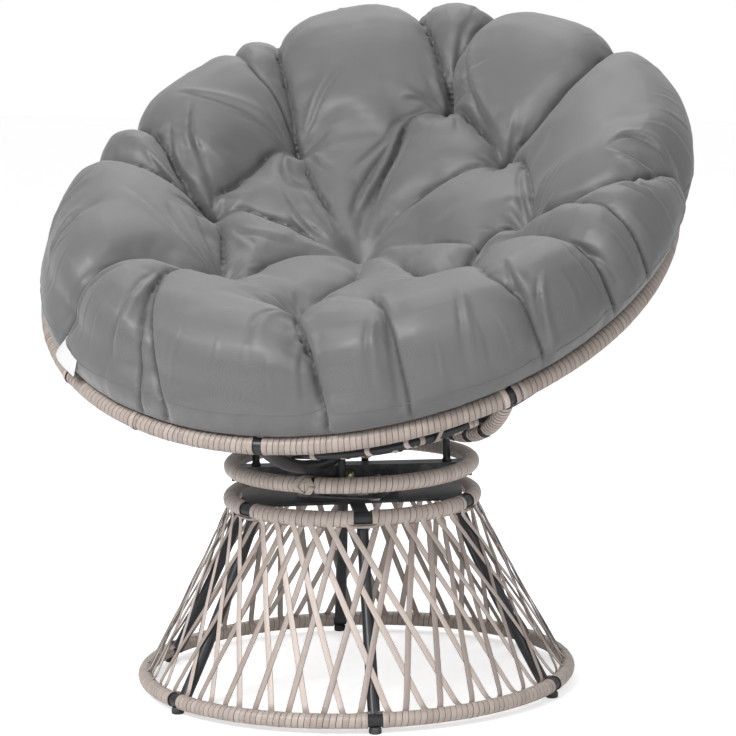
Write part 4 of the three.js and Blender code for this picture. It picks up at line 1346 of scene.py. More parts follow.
@dataclass
class Bowl:
    """The tilted bowl frame with its woven strips."""

    placement: Placement
    # The rim's wound tones are lowered as painted shade where the key lamp lights it most.
    rim: Ring = Ring(0.4597, 0.0, 0.0111, 0.0126, (0.30, 0.52))
    depth: float = 0.250
    rib_degrees: tuple[float, ...] = (0.0, 44.0, 135.0, 180.0, 225.0, 314.0)
    wrapped: tuple[int, ...] = (1, 5)
    rib_tube: float = 0.0095
    rib_wrap: float = 0.011
    rim_band: float = 0.012
    rib_foot: float = 0.087
    rib_gap: float = 0.003
    rib_top: float = 0.011
    rib_bare: tuple[float, float] = (0.016, 0.034)
    band_cut: float = 0.0045
    hoop_radii: tuple[float, ...] = (0.358, 0.297, 0.243)
    hoop_tube: float = 0.0055
    hub_radius: float = 0.100
    hub_tube: float = 0.008
    web: Strip = Strip(0.0066, 0.0012)
    web_spacing: float = math.radians(13.8)
    web_layer: float = 0.0009
    web_reach: float = 0.090
    web_radii: tuple[float, ...] = (0.41, 0.358, 0.3275, 0.297, 0.270, 0.243, 0.195, 0.145)
    slack_places: tuple[int, ...] = (0, 6, 7)
    slack: float = 0.0045
    rim_swing: float = math.radians(1.2)
    hub_swing: float = math.radians(2.6)
    down_loops: int = 3
    up_loops: int = 4
    raised_loops: tuple[tuple[float, float, float, float, float], ...] = (
        (44.0, -0.0092, 0.0084, 0.0011, 1.0),
        (44.0, 0.0088, 0.0080, 0.0006, 0.45),
        (44.0, 0.0190, 0.0078, 0.0003, 0.62),
        (314.0, -0.0045, 0.0074, 0.0012, 0.8),
        (334.5, 0.0, 0.0080, 0.0007, 0.62),
    )
    front_ties: tuple[tuple[int, float, float, float], ...] = (
        *((0, 4.8, 0.85, -0.0045), (1, 8.6, 1.0, -0.0050), (1, 14.2, 0.55, 0.0045)),
        *((0, 17.3, 1.0, -0.0050), (1, 23.0, 0.95, -0.0050), (0, 26.0, 1.0, -0.0045)),
        *((0, 28.6, 0.5, 0.0030), (1, 34.5, 0.5, 0.0015)),
    )

    def __post_init__(self) -> None:
        """Works out the spheres that the members lie on."""
        flat, thin = math.cos(TURN / 16), math.cos(TURN / 12)
        self.sphere = (self.rim.radius**2 + self.depth**2) / (2 * self.depth)
        self.centre = self.sphere - self.depth
        self.hoop_sphere = self.sphere - self.rib_wrap * flat - 0.00035 - self.hoop_tube * thin
        self.hub_sphere = self.hoop_sphere - self.hoop_tube + self.hub_tube

    def drop(self, sphere: float, radius: Points | float) -> Points | float:
        """The height of a point of a sphere about the bowl's centre."""
        return self.centre - np.sqrt(sphere * sphere - np.square(radius))

    def hoop(self, radius: float) -> Ring:
        """A hoop of the bowl, or the small ring at its bottom."""
        sphere, tube = self.hoop_sphere, self.hoop_tube
        if radius == self.hub_radius:
            sphere, tube = self.hub_sphere, self.hub_tube
        return Ring(radius, float(self.drop(sphere, radius)), tube, tube)

    def rib_course(self, angle: float, top: float, foot: float) -> Course:
        """A rib's line between two slopes of the bowl's sphere."""
        slopes = np.linspace(top, foot, 90)
        line = polar(self.sphere * np.sin(slopes), angle, self.centre - self.sphere * np.cos(slopes))
        return Course.through(line, heading(angle))

    def build_rim(self) -> None:
        """The rim tube and its windings between the bare bands, of which the one near the tag is narrow."""
        tube_piece("bowl_rim_tube", self.rim.course(), self.rim.tube, self.placement, Body.SEAT, "bowl_rim")
        shape = Shape()
        starts = [math.radians(degrees) for degrees in self.rib_degrees]
        ends = [*starts[1:], TURN + starts[0]]
        margins = [self.rim_band / 2 / self.rim.radius] * 6
        margins[-1] -= self.band_cut / self.rim.radius
        for i, (start, end) in enumerate(zip(starts, ends)):
            following = margins[-1] if i == 4 else margins[0]
            self.rim.wind(shape, start + margins[i], end - following, WOUND_PITCH, 101 + i)
        for degrees, off, width, lift, tone in self.raised_loops:
            self.rim.tie(shape, math.radians(degrees) + off / self.rim.radius, width, lift, tone)
        names = [f"rim_wrap_{i + 1}" for i in range(6)]
        shape.piece("rim_windings", self.placement, WICKER, Body.SEAT, names)

    def build_ties(self) -> None:
        """Pale strip wound round the hoops beside the two wound ribs, and at places in front."""
        shape = Shape()
        for number in self.wrapped:
            rib = math.radians(self.rib_degrees[number])
            for i, radius in enumerate(self.hoop_radii):
                for side, turn in ((-1, 0), (-1, 1), (1, 0), (1, 1)):
                    off = side * (0.0155 + 0.0074 * turn + 0.001 * i) / radius
                    self.hoop(radius).tie(shape, rib + off, 0.0072, 0.0004, 0.95 - 0.2 * turn)
        for number, degrees, tone, slant in self.front_ties:
            hoop = self.hoop(self.hoop_radii[number])
            hoop.tie(shape, math.radians(degrees), 0.0074, 0.0006, tone, slant)
        shape.piece("hoop_ties", self.placement, WICKER, Body.SEAT)

    def build_ribs(self) -> None:
        """Six ribs, two of them wound from hoop to hoop."""
        rim_slope, foot_slope = (math.asin(r / self.sphere) for r in (self.rim.radius, self.rib_foot))
        ends = [rim_slope - self.rib_bare[0] / self.sphere]
        for radius in self.hoop_radii:
            ends += [math.asin(radius / self.sphere) + side * self.rib_gap / self.sphere for side in (1, -1)]
        ends.append(foot_slope + self.rib_bare[1] / self.sphere)
        for i, degrees in enumerate(self.rib_degrees):
            angle = math.radians(degrees)
            course = self.rib_course(angle, rim_slope - self.rib_top / self.sphere, foot_slope)
            name = f"bowl_rib_{i + 1}"
            tube_piece(f"bowl_rib_tube_{i + 1}", course, self.rib_tube, self.placement, Body.SEAT, name)
            if i in self.wrapped:
                shape = Shape()
                winding = Winding(self.rib_tube, self.rib_wrap, 0.0112, 0.82)
                for k in range(0, len(ends), 2):
                    winding.wind(shape, self.rib_course(angle, ends[k], ends[k + 1]), 201 + i + 10 * k)
                shape.piece(f"rib_winding_{i + 1}", self.placement, WICKER, Body.SEAT, [f"rib_wrap_{i + 1}"])

    def build_hoops(self) -> None:
        """Three hoops and the hub ring."""
        hoops = (
            *zip(("hoop_upper", "hoop_middle", "hoop_lower"), self.hoop_radii, (16, 16, 16), ("", "", "")),
            ("hub", self.hub_radius, 24, "_ring"),
        )
        for name, radius, sides, ending in hoops:
            hoop, node = self.hoop(radius), f"bowl_{name}{ending}"
            tube_piece(f"bowl_{name}_tube", hoop.course(), hoop.tube, self.placement, Body.SEAT, node, sides)

    def web_angles(self, margin: float) -> list[float]:
        """Loop middles spread between the ribs."""
        made = []
        ribs = [math.radians(degrees) for degrees in (*self.rib_degrees, 360.0 + self.rib_degrees[0])]
        for angle, following in zip(ribs, ribs[1:]):
            count = round((following - angle) / self.web_spacing)
            edge = margin or (following - angle) / count / 2
            made += np.linspace(angle + edge, following - edge, count).tolist()
        return made

    def near_rib(self, angle: float) -> bool:
        """Whether a rib passes close behind this angle."""
        gaps = [abs((angle - math.radians(d) + math.pi) % TURN - math.pi) for d in self.rib_degrees]
        return min(gaps) < 0.09

    def web_run(self, rim_angle: float, hub_angle: float, family: Family, number: int) -> Points:
        """Where a stretch crosses the hoops, in turn inside and outside of them, from the rim inwards.

        Args:
            rim_angle: its angle at the rim.
            hub_angle: its angle at the hub.
            family: its direction.
            number: its number round the bowl.

        Returns:
            The points, rim first.
        """

        def turn_at(radius: float) -> float:
            """The angle of a straight line that passes the middle at the strand's reach."""
            return math.acos(self.web_reach / radius)

        whole = turn_at(self.rim.radius) - turn_at(self.hub_radius)
        layer = self.web_layer if family is Family.FALLING else -self.web_layer
        made = []
        for place, radius in enumerate(self.web_radii):
            share = (turn_at(self.rim.radius) - turn_at(radius)) / whole
            angle = rim_angle + (hub_angle - rim_angle) * share
            level = self.hoop_sphere - layer
            if radius in self.hoop_radii:
                inside = (place // 2 + number + (family is Family.RISING)) % 2 == 0 or self.near_rib(angle)
                level += (self.hoop_tube + self.web_layer) * (-1 if inside else 1)
            elif place in self.slack_places:
                level -= self.slack
            reach = radius * level / self.hoop_sphere
            made.append(polar(reach, angle, self.drop(level, reach)))
        return np.array(made)

    def build_lacing(self) -> None:
        """One strand between rim and hub, woven through the hoops."""
        rim_loops, hub_loops = self.web_angles(0.0), self.web_angles(math.radians(13.0))
        count, hub = len(rim_loops), self.hoop(self.hub_radius)
        upper, lower = self.hoop(self.hoop_radii[0]), self.hoop(self.hoop_radii[-1])
        rim_turn = math.atan2(self.rim.height - upper.height, self.rim.radius - upper.radius)
        hub_turn = math.atan2(lower.height - hub.height, lower.radius - hub.radius)
        share = np.linspace(0.0, 1.0, 12)
        swing = 2 * share - 1
        path, tone = [], []

        def angle_of(loops: list[float], number: int) -> float:
            """A loop's angle by its running number."""
            return loops[number % count] + TURN * (number // count)

        def rim_loop(middle: float) -> Points:
            """A loop over the rim."""
            turn = rim_turn + TURN * (share - 0.5) * 0.62
            return self.rim.loop(turn, middle + self.rim_swing * swing, -0.0016)

        for i in range(count):
            start = i * (self.down_loops + self.up_loops)
            rim_middle = angle_of(rim_loops, start)
            hub_middle = angle_of(hub_loops, start + self.down_loops)
            following = angle_of(rim_loops, start + self.down_loops + self.up_loops)
            over = rim_loop(rim_middle)
            turn = hub_turn + TURN / 4 + TURN * 0.75 * share
            under = hub.loop(turn, hub_middle + self.hub_swing * swing, self.web.thickness / 2 - 0.0001)
            down = self.web_run(rim_middle + self.rim_swing, hub_middle - self.hub_swing, Family.FALLING, i)
            up = self.web_run(following - self.rim_swing, hub_middle + self.hub_swing, Family.RISING, i)[::-1]
            for part, family in (
                (over, Family.RISING),
                (self.curve([over[-1:], down, under[:1]]), Family.FALLING),
                (under, Family.FALLING),
                (self.curve([under[-1:], up, rim_loop(following)[:1]]), Family.RISING),
            ):
                path.append(part)
                # Painted light on the falling stretches and the hub loops, painted shade on the rising
                # stretches and the rim loops.
                tone += [0.45 + 0.5 * family.value] * len(part)
        line = smoothed(np.concatenate(path), 2)
        shape = Shape()
        self.web.follow(shape, line, round_side(line), np.array(tone))
        shape.piece("bowl_lacing_strand", self.placement, WICKER, Body.SEAT, ["bowl_lacing"])

    @staticmethod
    def curve(parts: list[Points], steps: int = 5) -> Points:
        """A smooth line through points, its two ends left out."""
        known = np.concatenate([parts[0], *parts, parts[-1]])
        made = []
        for a, b, c, d in zip(known, known[1:], known[2:], known[3:]):
            for t in np.arange(steps) / steps:
                bend = (2 * a - 5 * b + 4 * c - d) * t**2 + (3 * b - a - 3 * c + d) * t**3
                made.append(0.5 * (2 * b + (c - a) * t + bend))
        return np.array(made[1:])

    def build(self) -> None:
        """The whole bowl."""
        self.build_rim()
        self.build_ribs()
        self.build_hoops()
        self.build_ties()
        self.build_lacing()


def swollen(share: Points) -> Points:
    """The round side of a stuffed lobe: 0 in the valley, 1 on the crown, steep at first."""
    return np.sqrt(1.0 - np.square(1.0 - np.clip(share, 0.0, 1.0)))


class Line:
    """A smooth line in the plane of the rim, and how places lie to it."""

    def __init__(self, corners: Sequence[tuple[float, float]], past: float | None = None) -> None:
        """Rounds the corners.

        Args:
            corners: places in millimetres, towards +X and uphill.
            past: a radius that the line is drawn on to, in millimetres, if it ends at the edge.
        """
        line = np.array(corners, dtype=float)
        if past is not None:
            ahead = unit(line[-1] + 2.0 * (line[-1] - line[-2]))
            line = np.concatenate([line, [ahead * past]])
        for _ in range(2):
            first = 0.75 * line[:-1] + 0.25 * line[1:]
            second = 0.25 * line[:-1] + 0.75 * line[1:]
            between = np.stack([first, second], axis=1).reshape(-1, 2)
            line = np.concatenate([line[:1], between, line[-1:]])
        self.line = line / 1000.0

    def near(self, x: Points, y: Points, limit: float) -> tuple[Points, Points, Points, Points]:
        """The places that lie close to the line.

        Args:
            x: places towards +X.
            y: places uphill.
            limit: how far off a place may lie.

        Returns:
            Their numbers, how far off they lie, on which side (1 or -1), and the share of the line.
        """
        low, high = self.line.min(axis=0) - limit, self.line.max(axis=0) + limit
        where = np.nonzero((x > low[0]) & (x < high[0]) & (y > low[1]) & (y < high[1]))[0]
        px, py = x[where], y[where]
        gap = np.full(len(where), 1e3)
        side = np.ones(len(where))
        share = np.zeros(len(where))
        steps = np.linalg.norm(np.diff(self.line, axis=0), axis=1)
        before = np.concatenate([[0.0], np.cumsum(steps)])
        for k, size in enumerate(steps):
            (ax, ay), (bx, by) = self.line[k], self.line[k + 1]
            run_x, run_y = (bx - ax) / size, (by - ay) / size
            along = np.clip((px - ax) * run_x + (py - ay) * run_y, 0.0, size)
            off_x, off_y = px - ax - along * run_x, py - ay - along * run_y
            off = np.hypot(off_x, off_y)
            closer = off < gap
            gap = np.where(closer, off, gap)
            side = np.where(closer, np.sign(run_x * off_y - run_y * off_x), side)
            share = np.where(closer, (before[k] + along) / before[-1], share)
        kept = gap < limit
        return where[kept], gap[kept], side[kept], share[kept]


class Draw(Enum):
    """How hard the cover is drawn in along a valley: depth, reach and cut in metres."""

    INNER = (0.024, 0.046, 0.0055)
    BETWEEN = (0.034, 0.058, 0.0065)
    OUTER = (0.044, 0.078, 0.0070)
    SHALLOW = (0.020, 0.050, 0.0045)


@dataclass(frozen=True)
class Valley:
    """A line along which the cover is drawn in between two lobes."""

    draw: Draw
    line: Pairs
    past: float | None = None


EDGE = 505.0
VALLEYS = (
    Valley(Draw.INNER, ((-147, 193), (-123, 153), (-101, 117), (-68, 78), (-38, 48), (-16, 23), (-2, 5))),
    Valley(Draw.INNER, ((-226, 14), (-201, 21), (-175, 30), (-129, 23), (-85, 13), (-48, 0), (-2, 5))),
    Valley(Draw.INNER, ((-150, -152), (-112, -139), (-103, -98), (-81, -58), (-48, -34), (-19, -22), (-2, 5))),
    Valley(Draw.INNER, ((2, -252), (16, -189), (34, -141), (40, -115), (22, -50), (-2, 5))),
    Valley(Draw.INNER, ((-2, 5), (15, 15), (64, -28), (122, -105), (162, -139), (204, -138))),
    Valley(Draw.SHALLOW, ((-2, 5), (15, 23), (60, 21), (133, -12), (202, -40))),
    Valley(Draw.INNER, ((-2, 5), (11, 24), (21, 49), (35, 81), (57, 105), (91, 130), (120, 149), (182, 180))),
    Valley(Draw.INNER, ((-2, 5), (-8, 41), (-13, 68), (-2, 123), (9, 189), (10, 250), (33, 277), (68, 288))),
    Valley(
        Draw.BETWEEN, ((-147, 193), (-160, 188), (-177, 163), (-189, 124), (-206, 73), (-224, 52), (-226, 14))
    ),
    Valley(Draw.BETWEEN, ((68, 288), (103, 264), (142, 226), (182, 180))),
    Valley(Draw.SHALLOW, ((182, 180), (225, 150), (248, 92), (268, 40), (270, 3))),
    Valley(Draw.BETWEEN, ((270, 3), (238, 5), (214, -20), (202, -44), (201, -100), (205, -138))),
    Valley(Draw.BETWEEN, ((-226, 14), (-190, -30), (-180, -60), (-162, -109), (-150, -152))),
    Valley(Draw.OUTER, ((-147, 193), (-165, 245), (-186, 288), (-204, 325), (-236, 400)), EDGE),
    Valley(Draw.SHALLOW, ((-149, 198), (-184, 252), (-219, 273), (-248, 297), (-300, 355)), EDGE),
    Valley(Draw.OUTER, ((68, 288), (67, 309), (41, 358), (12, 410)), EDGE),
    Valley(Draw.OUTER, ((68, 288), (66, 331), (75, 361), (96, 423)), EDGE),
    Valley(Draw.OUTER, ((182, 182), (201, 203), (225, 214), (256, 252), (286, 286), (317, 341)), EDGE),
    Valley(Draw.OUTER, ((270, 3), (300, -13), (361, -17), (403, -2), (438, 19), (460, 45)), EDGE),
    Valley(Draw.SHALLOW, ((275, -2), (321, -9), (380, -63), (414, -75), (438, -92), (462, -106)), EDGE),
    Valley(
        Draw.OUTER,
        ((206, -138), (214, -85), (235, -50), (279, -65), (336, -114), (383, -147), (421, -172)),
        EDGE,
    ),
    Valley(Draw.SHALLOW, ((206, -138), (240, -150), (284, -243), (313, -262), (342, -275), (370, -304)), EDGE),
    Valley(Draw.OUTER, ((2, -250), (20, -296), (57, -374), (84, -412), (96, -440)), EDGE),
    Valley(Draw.OUTER, ((-226, 14), (-262, 30), (-321, 35), (-361, 40), (-418, 52)), EDGE),
    Valley(
        Draw.OUTER, ((-150, -154), (-190, -172), (-227, -180), (-258, -200), (-290, -245), (-330, -284)), EDGE
    ),
    Valley(
        Draw.SHALLOW, ((-152, -156), (-190, -195), (-197, -245), (-181, -332), (-178, -372), (-182, -425)), EDGE
    ),
    Valley(Draw.SHALLOW, ((-196, -243), (-172, -343), (-165, -368), (-146, -436)), EDGE),
    Valley(Draw.OUTER, ((-226, 14), (-262, 30), (-293, 74), (-327, 111), (-355, 129), (-405, 157)), EDGE),
    Valley(Draw.SHALLOW, ((101, -215), (150, -300), (179, -354), (205, -401), (216, -430)), EDGE),
)


@dataclass(frozen=True)
class Fold:
    """A ridge of slack cloth with a groove beside it; sizes in millimetres."""

    line: Pairs
    height: float = 4.0
    width: float = 8.0


FOLDS = (
    Fold(((32, 269), (4, 252), (-11, 193), (-34, 149), (-42, 127)), 5.5, 9.0),
    Fold(((2, 232), (-5, 168), (-21, 122), (-23, 76), (-11, 24)), 5.5, 8.0),
    Fold(((27, 232), (19, 168), (0, 106), (0, 51), (4, 18)), -4.5, 7.0),
    Fold(((-130, 68), (-101, 33), (-63, 11), (-18, -5)), -5.0, 8.0),
    Fold(((-101, 85), (-74, 55), (-39, 25), (-10, 10)), 5.0, 7.0),
    Fold(((-150, 179), (-153, 150), (-144, 113), (-127, 93), (-104, 94)), 5.5, 8.0),
    Fold(((-122, 184), (-105, 158), (-75, 136)), 3.5, 7.0),
    Fold(((230, 141), (229, 114), (247, 59), (265, 14)), 5.5, 8.0),
    Fold(((95, 355), (101, 311), (128, 264), (171, 213)), 5.5, 10.0),
    Fold(((387, 64), (409, 92), (446, 89), (474, 69)), 4.5, 8.0),
    Fold(((387, 53), (411, 42), (440, 39), (467, 48)), -4.0, 7.0),
    Fold(((369, -154), (406, -187), (438, -202)), 5.0, 8.0),
    Fold(((375, -143), (413, -164), (444, -174)), -4.0, 7.0),
    Fold(((309, -221), (330, -254), (356, -280)), 5.5, 9.0),
    Fold(((366, -245), (366, -272), (382, -309)), 5.0, 8.0),
    Fold(((12, -262), (8, -330), (2, -380), (4, -420)), 5.0, 10.0),
    Fold(((0, -240), (-24, -236), (-52, -222)), 4.0, 7.0),
    Fold(((34, -320), (66, -366), (90, -420)), 4.0, 7.0),
    Fold(((-306, 121), (-294, 81), (-275, 57), (-245, 35)), 6.0, 9.0),
    Fold(((-288, 160), (-279, 118), (-261, 86), (-232, 40)), -5.5, 9.0),
    Fold(((-327, 62), (-297, 39), (-262, 24)), 4.0, 8.0),
    Fold(((-160, -150), (-222, -116), (-270, -81), (-317, -58)), 3.0, 9.0),
    Fold(((-158, -146), (-214, -97), (-258, -40)), -3.0, 8.0),
    Fold(((-154, -140), (-196, -90), (-230, -30)), 3.0, 8.0),
    Fold(((-202, -239), (-200, -323), (-219, -377), (-241, -403)), 4.5, 9.0),
    Fold(((-312, 189), (-264, 192), (-213, 198), (-160, 196)), 3.5, 10.0),
    Fold(((-140, 205), (-122, 265), (-97, 311)), 3.0, 9.0),
    Fold(((72, 300), (75, 335), (75, 380), (83, 426)), -4.0, 8.0),
    Fold(((-173, -23), (-128, -41), (-84, -31)), 3.0, 10.0),
    Fold(((-179, -25), (-132, -68), (-96, -96)), -3.0, 9.0),
    Fold(((160, -364), (165, -404), (174, -429)), 4.0, 8.0),
    Fold(((265, -299), (281, -338), (290, -372)), 3.5, 8.0),
    Fold(((101, -209), (150, -290), (190, -370), (207, -430)), 6.0, 8.0),
    Fold(((-396, -187), (-369, -139), (-340, -91)), 3.5, 9.0),
    Fold(((-424, -133), (-402, -71), (-375, -31)), -3.5, 9.0),
    Fold(((-331, -309), (-291, -283), (-242, -241)), 3.5, 9.0),
    Fold(((411, -24), (444, -33), (470, -36)), 4.0, 7.0),
    Fold(((437, 25), (442, -24), (463, -16)), 3.5, 7.0),
)


@dataclass
class Cushion:
    """The round tufted cushion that hangs in the bowl."""

    placement: Placement
    seat_sphere: float = 0.5162
    seat_centre: float = 0.2977
    outer: float = 0.466
    shift: tuple[float, float] = (0.022, 0.019)
    tufts: Pairs = (
        *((-0.002, 0.005), (0.265, 0.003), (0.208, -0.142), (0.0, -0.245), (-0.151, -0.150)),
        *((-0.222, 0.015), (-0.145, 0.190), (0.066, 0.290), (0.183, 0.178)),
    )
    crown: Pairs = (
        *((0.0, 0.000), (0.060, 0.016), (0.128, 0.042), (0.200, 0.062), (0.252, 0.083), (0.300, 0.114)),
        *((0.340, 0.136), (0.382, 0.152), (0.414, 0.151), (0.440, 0.138), (0.458, 0.113), (0.467, 0.080)),
    )
    outline: Pairs = (
        *((0, 0.0), (15, 0.009), (30, 0.017), (45, 0.018), (60, 0.010), (75, 0.003)),
        *((90, 0.014), (105, 0.020), (120, 0.016), (132, 0.004), (142, -0.010), (152, -0.018)),
        *((165, -0.018), (180, -0.012), (195, -0.006), (215, -0.003), (250, 0.0)),
    )
    lip: Pairs = ((0.452, 0.0125), (0.438, 0.0085))
    lip_height: float = 0.0142
    centre_depth: float = 0.046
    ring_depth: float = 0.050
    tuft_reach: float = 0.062
    notch: float = 0.017
    seam_height: float = 0.054
    voxel: float = 0.006
    frames: int = 20
    cap: float = 0.018
    calm: int = 5
    cut_share: float = 1.25
    cut_width: float = 0.0034
    crease_reach: float = 0.014
    crease_shade: float = 0.0028
    tuft_shade: float = 0.0085
    bead: float = 0.0010
    tag_size: tuple[float, float] = (0.062, 0.026)
    tag_angle: float = math.radians(-134.4)
    cloth: tuple[tuple[str, object], ...] = (
        *(("quality", 6), ("mass", 0.25), ("tension_stiffness", 22.0), ("compression_stiffness", 22.0)),
        *(("shear_stiffness", 6.0), ("bending_stiffness", 3.0), ("air_damping", 3.0), ("use_pressure", True)),
        *(("uniform_pressure_force", 4.0), ("shrink_min", -0.02), ("vertex_group_mass", "held")),
    )

    def bowl(self, radius: Points | float) -> Points | float:
        """The height of the bowl's inside, on which the cushion lies."""
        return self.seat_centre - np.sqrt(np.maximum(self.seat_sphere**2 - np.square(radius), 0.0))

    def drawn(self, x: Points, y: Points, depths: bool) -> Points:
        """How far the cover is drawn in by the valleys and tufts.

        Args:
            x: places towards +X in the plane of the rim.
            y: places uphill.
            depths: whether depths are given, or shares from 0 to 1 of the valleys that reach the edge.

        Returns:
            The depths or shares.
        """
        total = np.zeros(len(x))
        for valley in VALLEYS:
            if not depths and valley.past is None:
                continue
            depth, reach, _ = valley.draw.value
            strength = depth if depths else depth / Draw.OUTER.value[0]
            where, gap, _, _ = Line(valley.line, valley.past).near(x, y, reach)
            total[where] += (strength * (1.0 - swollen(gap / reach))) ** 4
        if depths:
            for number, (tx, ty) in enumerate(self.tufts):
                depth = self.ring_depth if number else self.centre_depth
                gap = np.hypot(x - tx, y - ty)
                total += (depth * (1.0 - np.clip(gap / self.tuft_reach, 0.0, 1.0)) ** 1.5) ** 4
        return total**0.25

    def start_mesh(self) -> bpy.types.Mesh:
        """The closed cover before it swells."""
        angles = TURN * np.arange(200) / 200
        around = np.stack([np.cos(angles), np.sin(angles)])
        degrees, extra = np.array(self.outline, dtype=float).T
        extra = np.interp(np.degrees(angles), degrees, extra, period=360.0)
        whole = self.outer + extra
        shift = np.array(self.shift)[:, None]
        notch = self.notch * self.drawn(*(whole * around + shift), False)
        rows = []
        for radius in np.linspace(0.008, self.outer, 76):
            x, y = shift + radius * (whole - notch) / self.outer * around
            depth = self.drawn(x, y, True) * min(1.0, (self.outer + 0.016 - radius) / 0.05)
            rows.append([x, y, np.interp(radius, *np.array(self.crown).T) - depth])
        edge = rows[-1][2]
        for share in np.linspace(0.12, 1.0, 9):
            bulge = 0.013 * math.sin(math.pi * share) - 0.006 * share**4
            radius = self.outer + bulge + (extra - notch) * (1 - share) ** 0.7
            x, y = shift * (1 - share) + radius * around
            rows.append([x, y, edge * (1 - share) + self.lip_height * share])
        under = [(radius, self.bowl(radius)) for radius in np.linspace(0.425, 0.01, 40)]
        for radius, height in (*self.lip, *under):
            rows.append([*(radius * around), np.full(200, height)])
        shape = Shape()
        shape.grid(np.array(rows).transpose(0, 2, 1), caps=True)
        return shape.mesh("cushion_start", ROW_FRAME)

    @staticmethod
    def read(mesh: bpy.types.Mesh, what: str = "co") -> Points:
        """The mesh's points (co), or their normals (vector)."""
        values = np.zeros(len(mesh.vertices) * 3)
        (mesh.vertices if what == "co" else mesh.vertex_normals).foreach_get(what, values)
        return values.reshape(-1, 3)

    @staticmethod
    def calmed(mesh: bpy.types.Mesh, values: Points, passes: int) -> Points:
        """Evens out values on a mesh with those of their neighbours.

        Args:
            mesh: the mesh whose edges join the values.
            values: one row for each point.
            passes: how many times.

        Returns:
            The evened values.
        """
        ends = np.zeros(len(mesh.edges) * 2, dtype=np.int32)
        mesh.edges.foreach_get("vertices", ends)
        near, far = np.concatenate([ends[0::2], ends[1::2]]), np.concatenate([ends[1::2], ends[0::2]])
        joined = np.bincount(near, minlength=len(values))
        for _ in range(passes):
            total = [np.bincount(near, weights=values[far, k], minlength=len(values)) for k in range(3)]
            values = 0.5 * values + 0.5 * np.stack(total, axis=-1) / joined[:, None]
        return values

    def swell(self, piece: bpy.types.Object) -> None:
        """Fills the cover: cloth under pressure, held at the tufts and where it lies in the bowl."""
        mesh = piece.data
        before = self.read(mesh)
        held = piece.vertex_groups.new(name="held")
        x, y, z = before.T
        gaps = np.min([np.hypot(x - tx, y - ty) for tx, ty in self.tufts], axis=0)
        low = self.bowl(np.hypot(x, y))
        upper = z > low + 0.03
        pinned = ((gaps < 0.012) & upper) | (z < np.minimum(low + 0.004, 0.030))
        creased = np.zeros(len(before), dtype=bool)
        for valley in VALLEYS:
            creased[Line(valley.line, valley.past).near(x, y, 0.005)[0]] = True
        for which, weight in ((pinned, 1.0), (creased & ~pinned & upper, 0.5)):
            held.add(np.nonzero(which)[0].tolist(), weight, "REPLACE")
        cloth = piece.modifiers.new("fill", "CLOTH")
        for name, value in self.cloth:
            setattr(cloth.settings, name, value)
        cloth.settings.effector_weights.gravity = 0.0
        cloth.point_cache.frame_start = 1
        cloth.point_cache.frame_end = self.frames
        scene = bpy.context.scene
        for step in range(1, self.frames + 1):
            scene.frame_set(step)
        seen = piece.evaluated_get(bpy.context.evaluated_depsgraph_get())
        after = self.read(seen.to_mesh())
        seen.to_mesh_clear()
        piece.modifiers.remove(cloth)
        piece.vertex_groups.clear()
        scene.frame_set(1)
        move = after - before
        size = np.linalg.norm(move, axis=1, keepdims=True)
        move *= np.minimum(1.0, self.cap / np.maximum(size, 1e-9))
        move = self.calmed(mesh, move, self.calm)
        mesh.vertices.foreach_set("co", (before + move).ravel())
        mesh.update()
        log.info("cover swollen: mean %.1f mm, most %.1f mm", 1000 * size.mean(), 1000 * size.max())

    def wrinkles(self) -> list[Fold]:
        """Short wrinkles round every tuft, and gathers along the seam."""
        rng = np.random.default_rng(2031)
        made = []

        def add(line: list[Points], heights: tuple[float, float], widths: tuple[float, float]) -> None:
            """Adds a wrinkle, its ridge on either side of the line."""
            made.append(Fold(tuple(line), rng.uniform(*heights) * rng.choice((-1, 1)), rng.uniform(*widths)))

        for number, tuft in enumerate(self.tufts):
            middle = 1000 * np.array(tuft)
            count = 13 if number else 16
            start = rng.uniform(0.0, TURN)
            for k in range(count):
                angle = start + TURN * (k + rng.uniform(-0.3, 0.3)) / count
                length = rng.uniform(28.0, 88.0)
                bend = rng.uniform(-0.35, 0.35)
                line = []
                for share in (0.1, 0.4, 0.7, 1.0):
                    line.append(middle + length * share * heading(angle + bend * share)[:2])
                add(line, (0.8, 2.2), (4.5, 7.5))
        angle = 0.0
        while angle < TURN:
            angle += rng.uniform(0.05, 0.14)
            length = rng.uniform(26.0, 60.0)
            line = []
            for share in (0.0, 0.5, 1.0):
                reach = 1000 * self.outer + 12.0 - length * (1 - share)
                line.append(1000 * np.array(self.shift) + reach * heading(angle + rng.uniform(-0.01, 0.01))[:2])
            add(line, (0.6, 1.6), (4.0, 7.0))
        return made

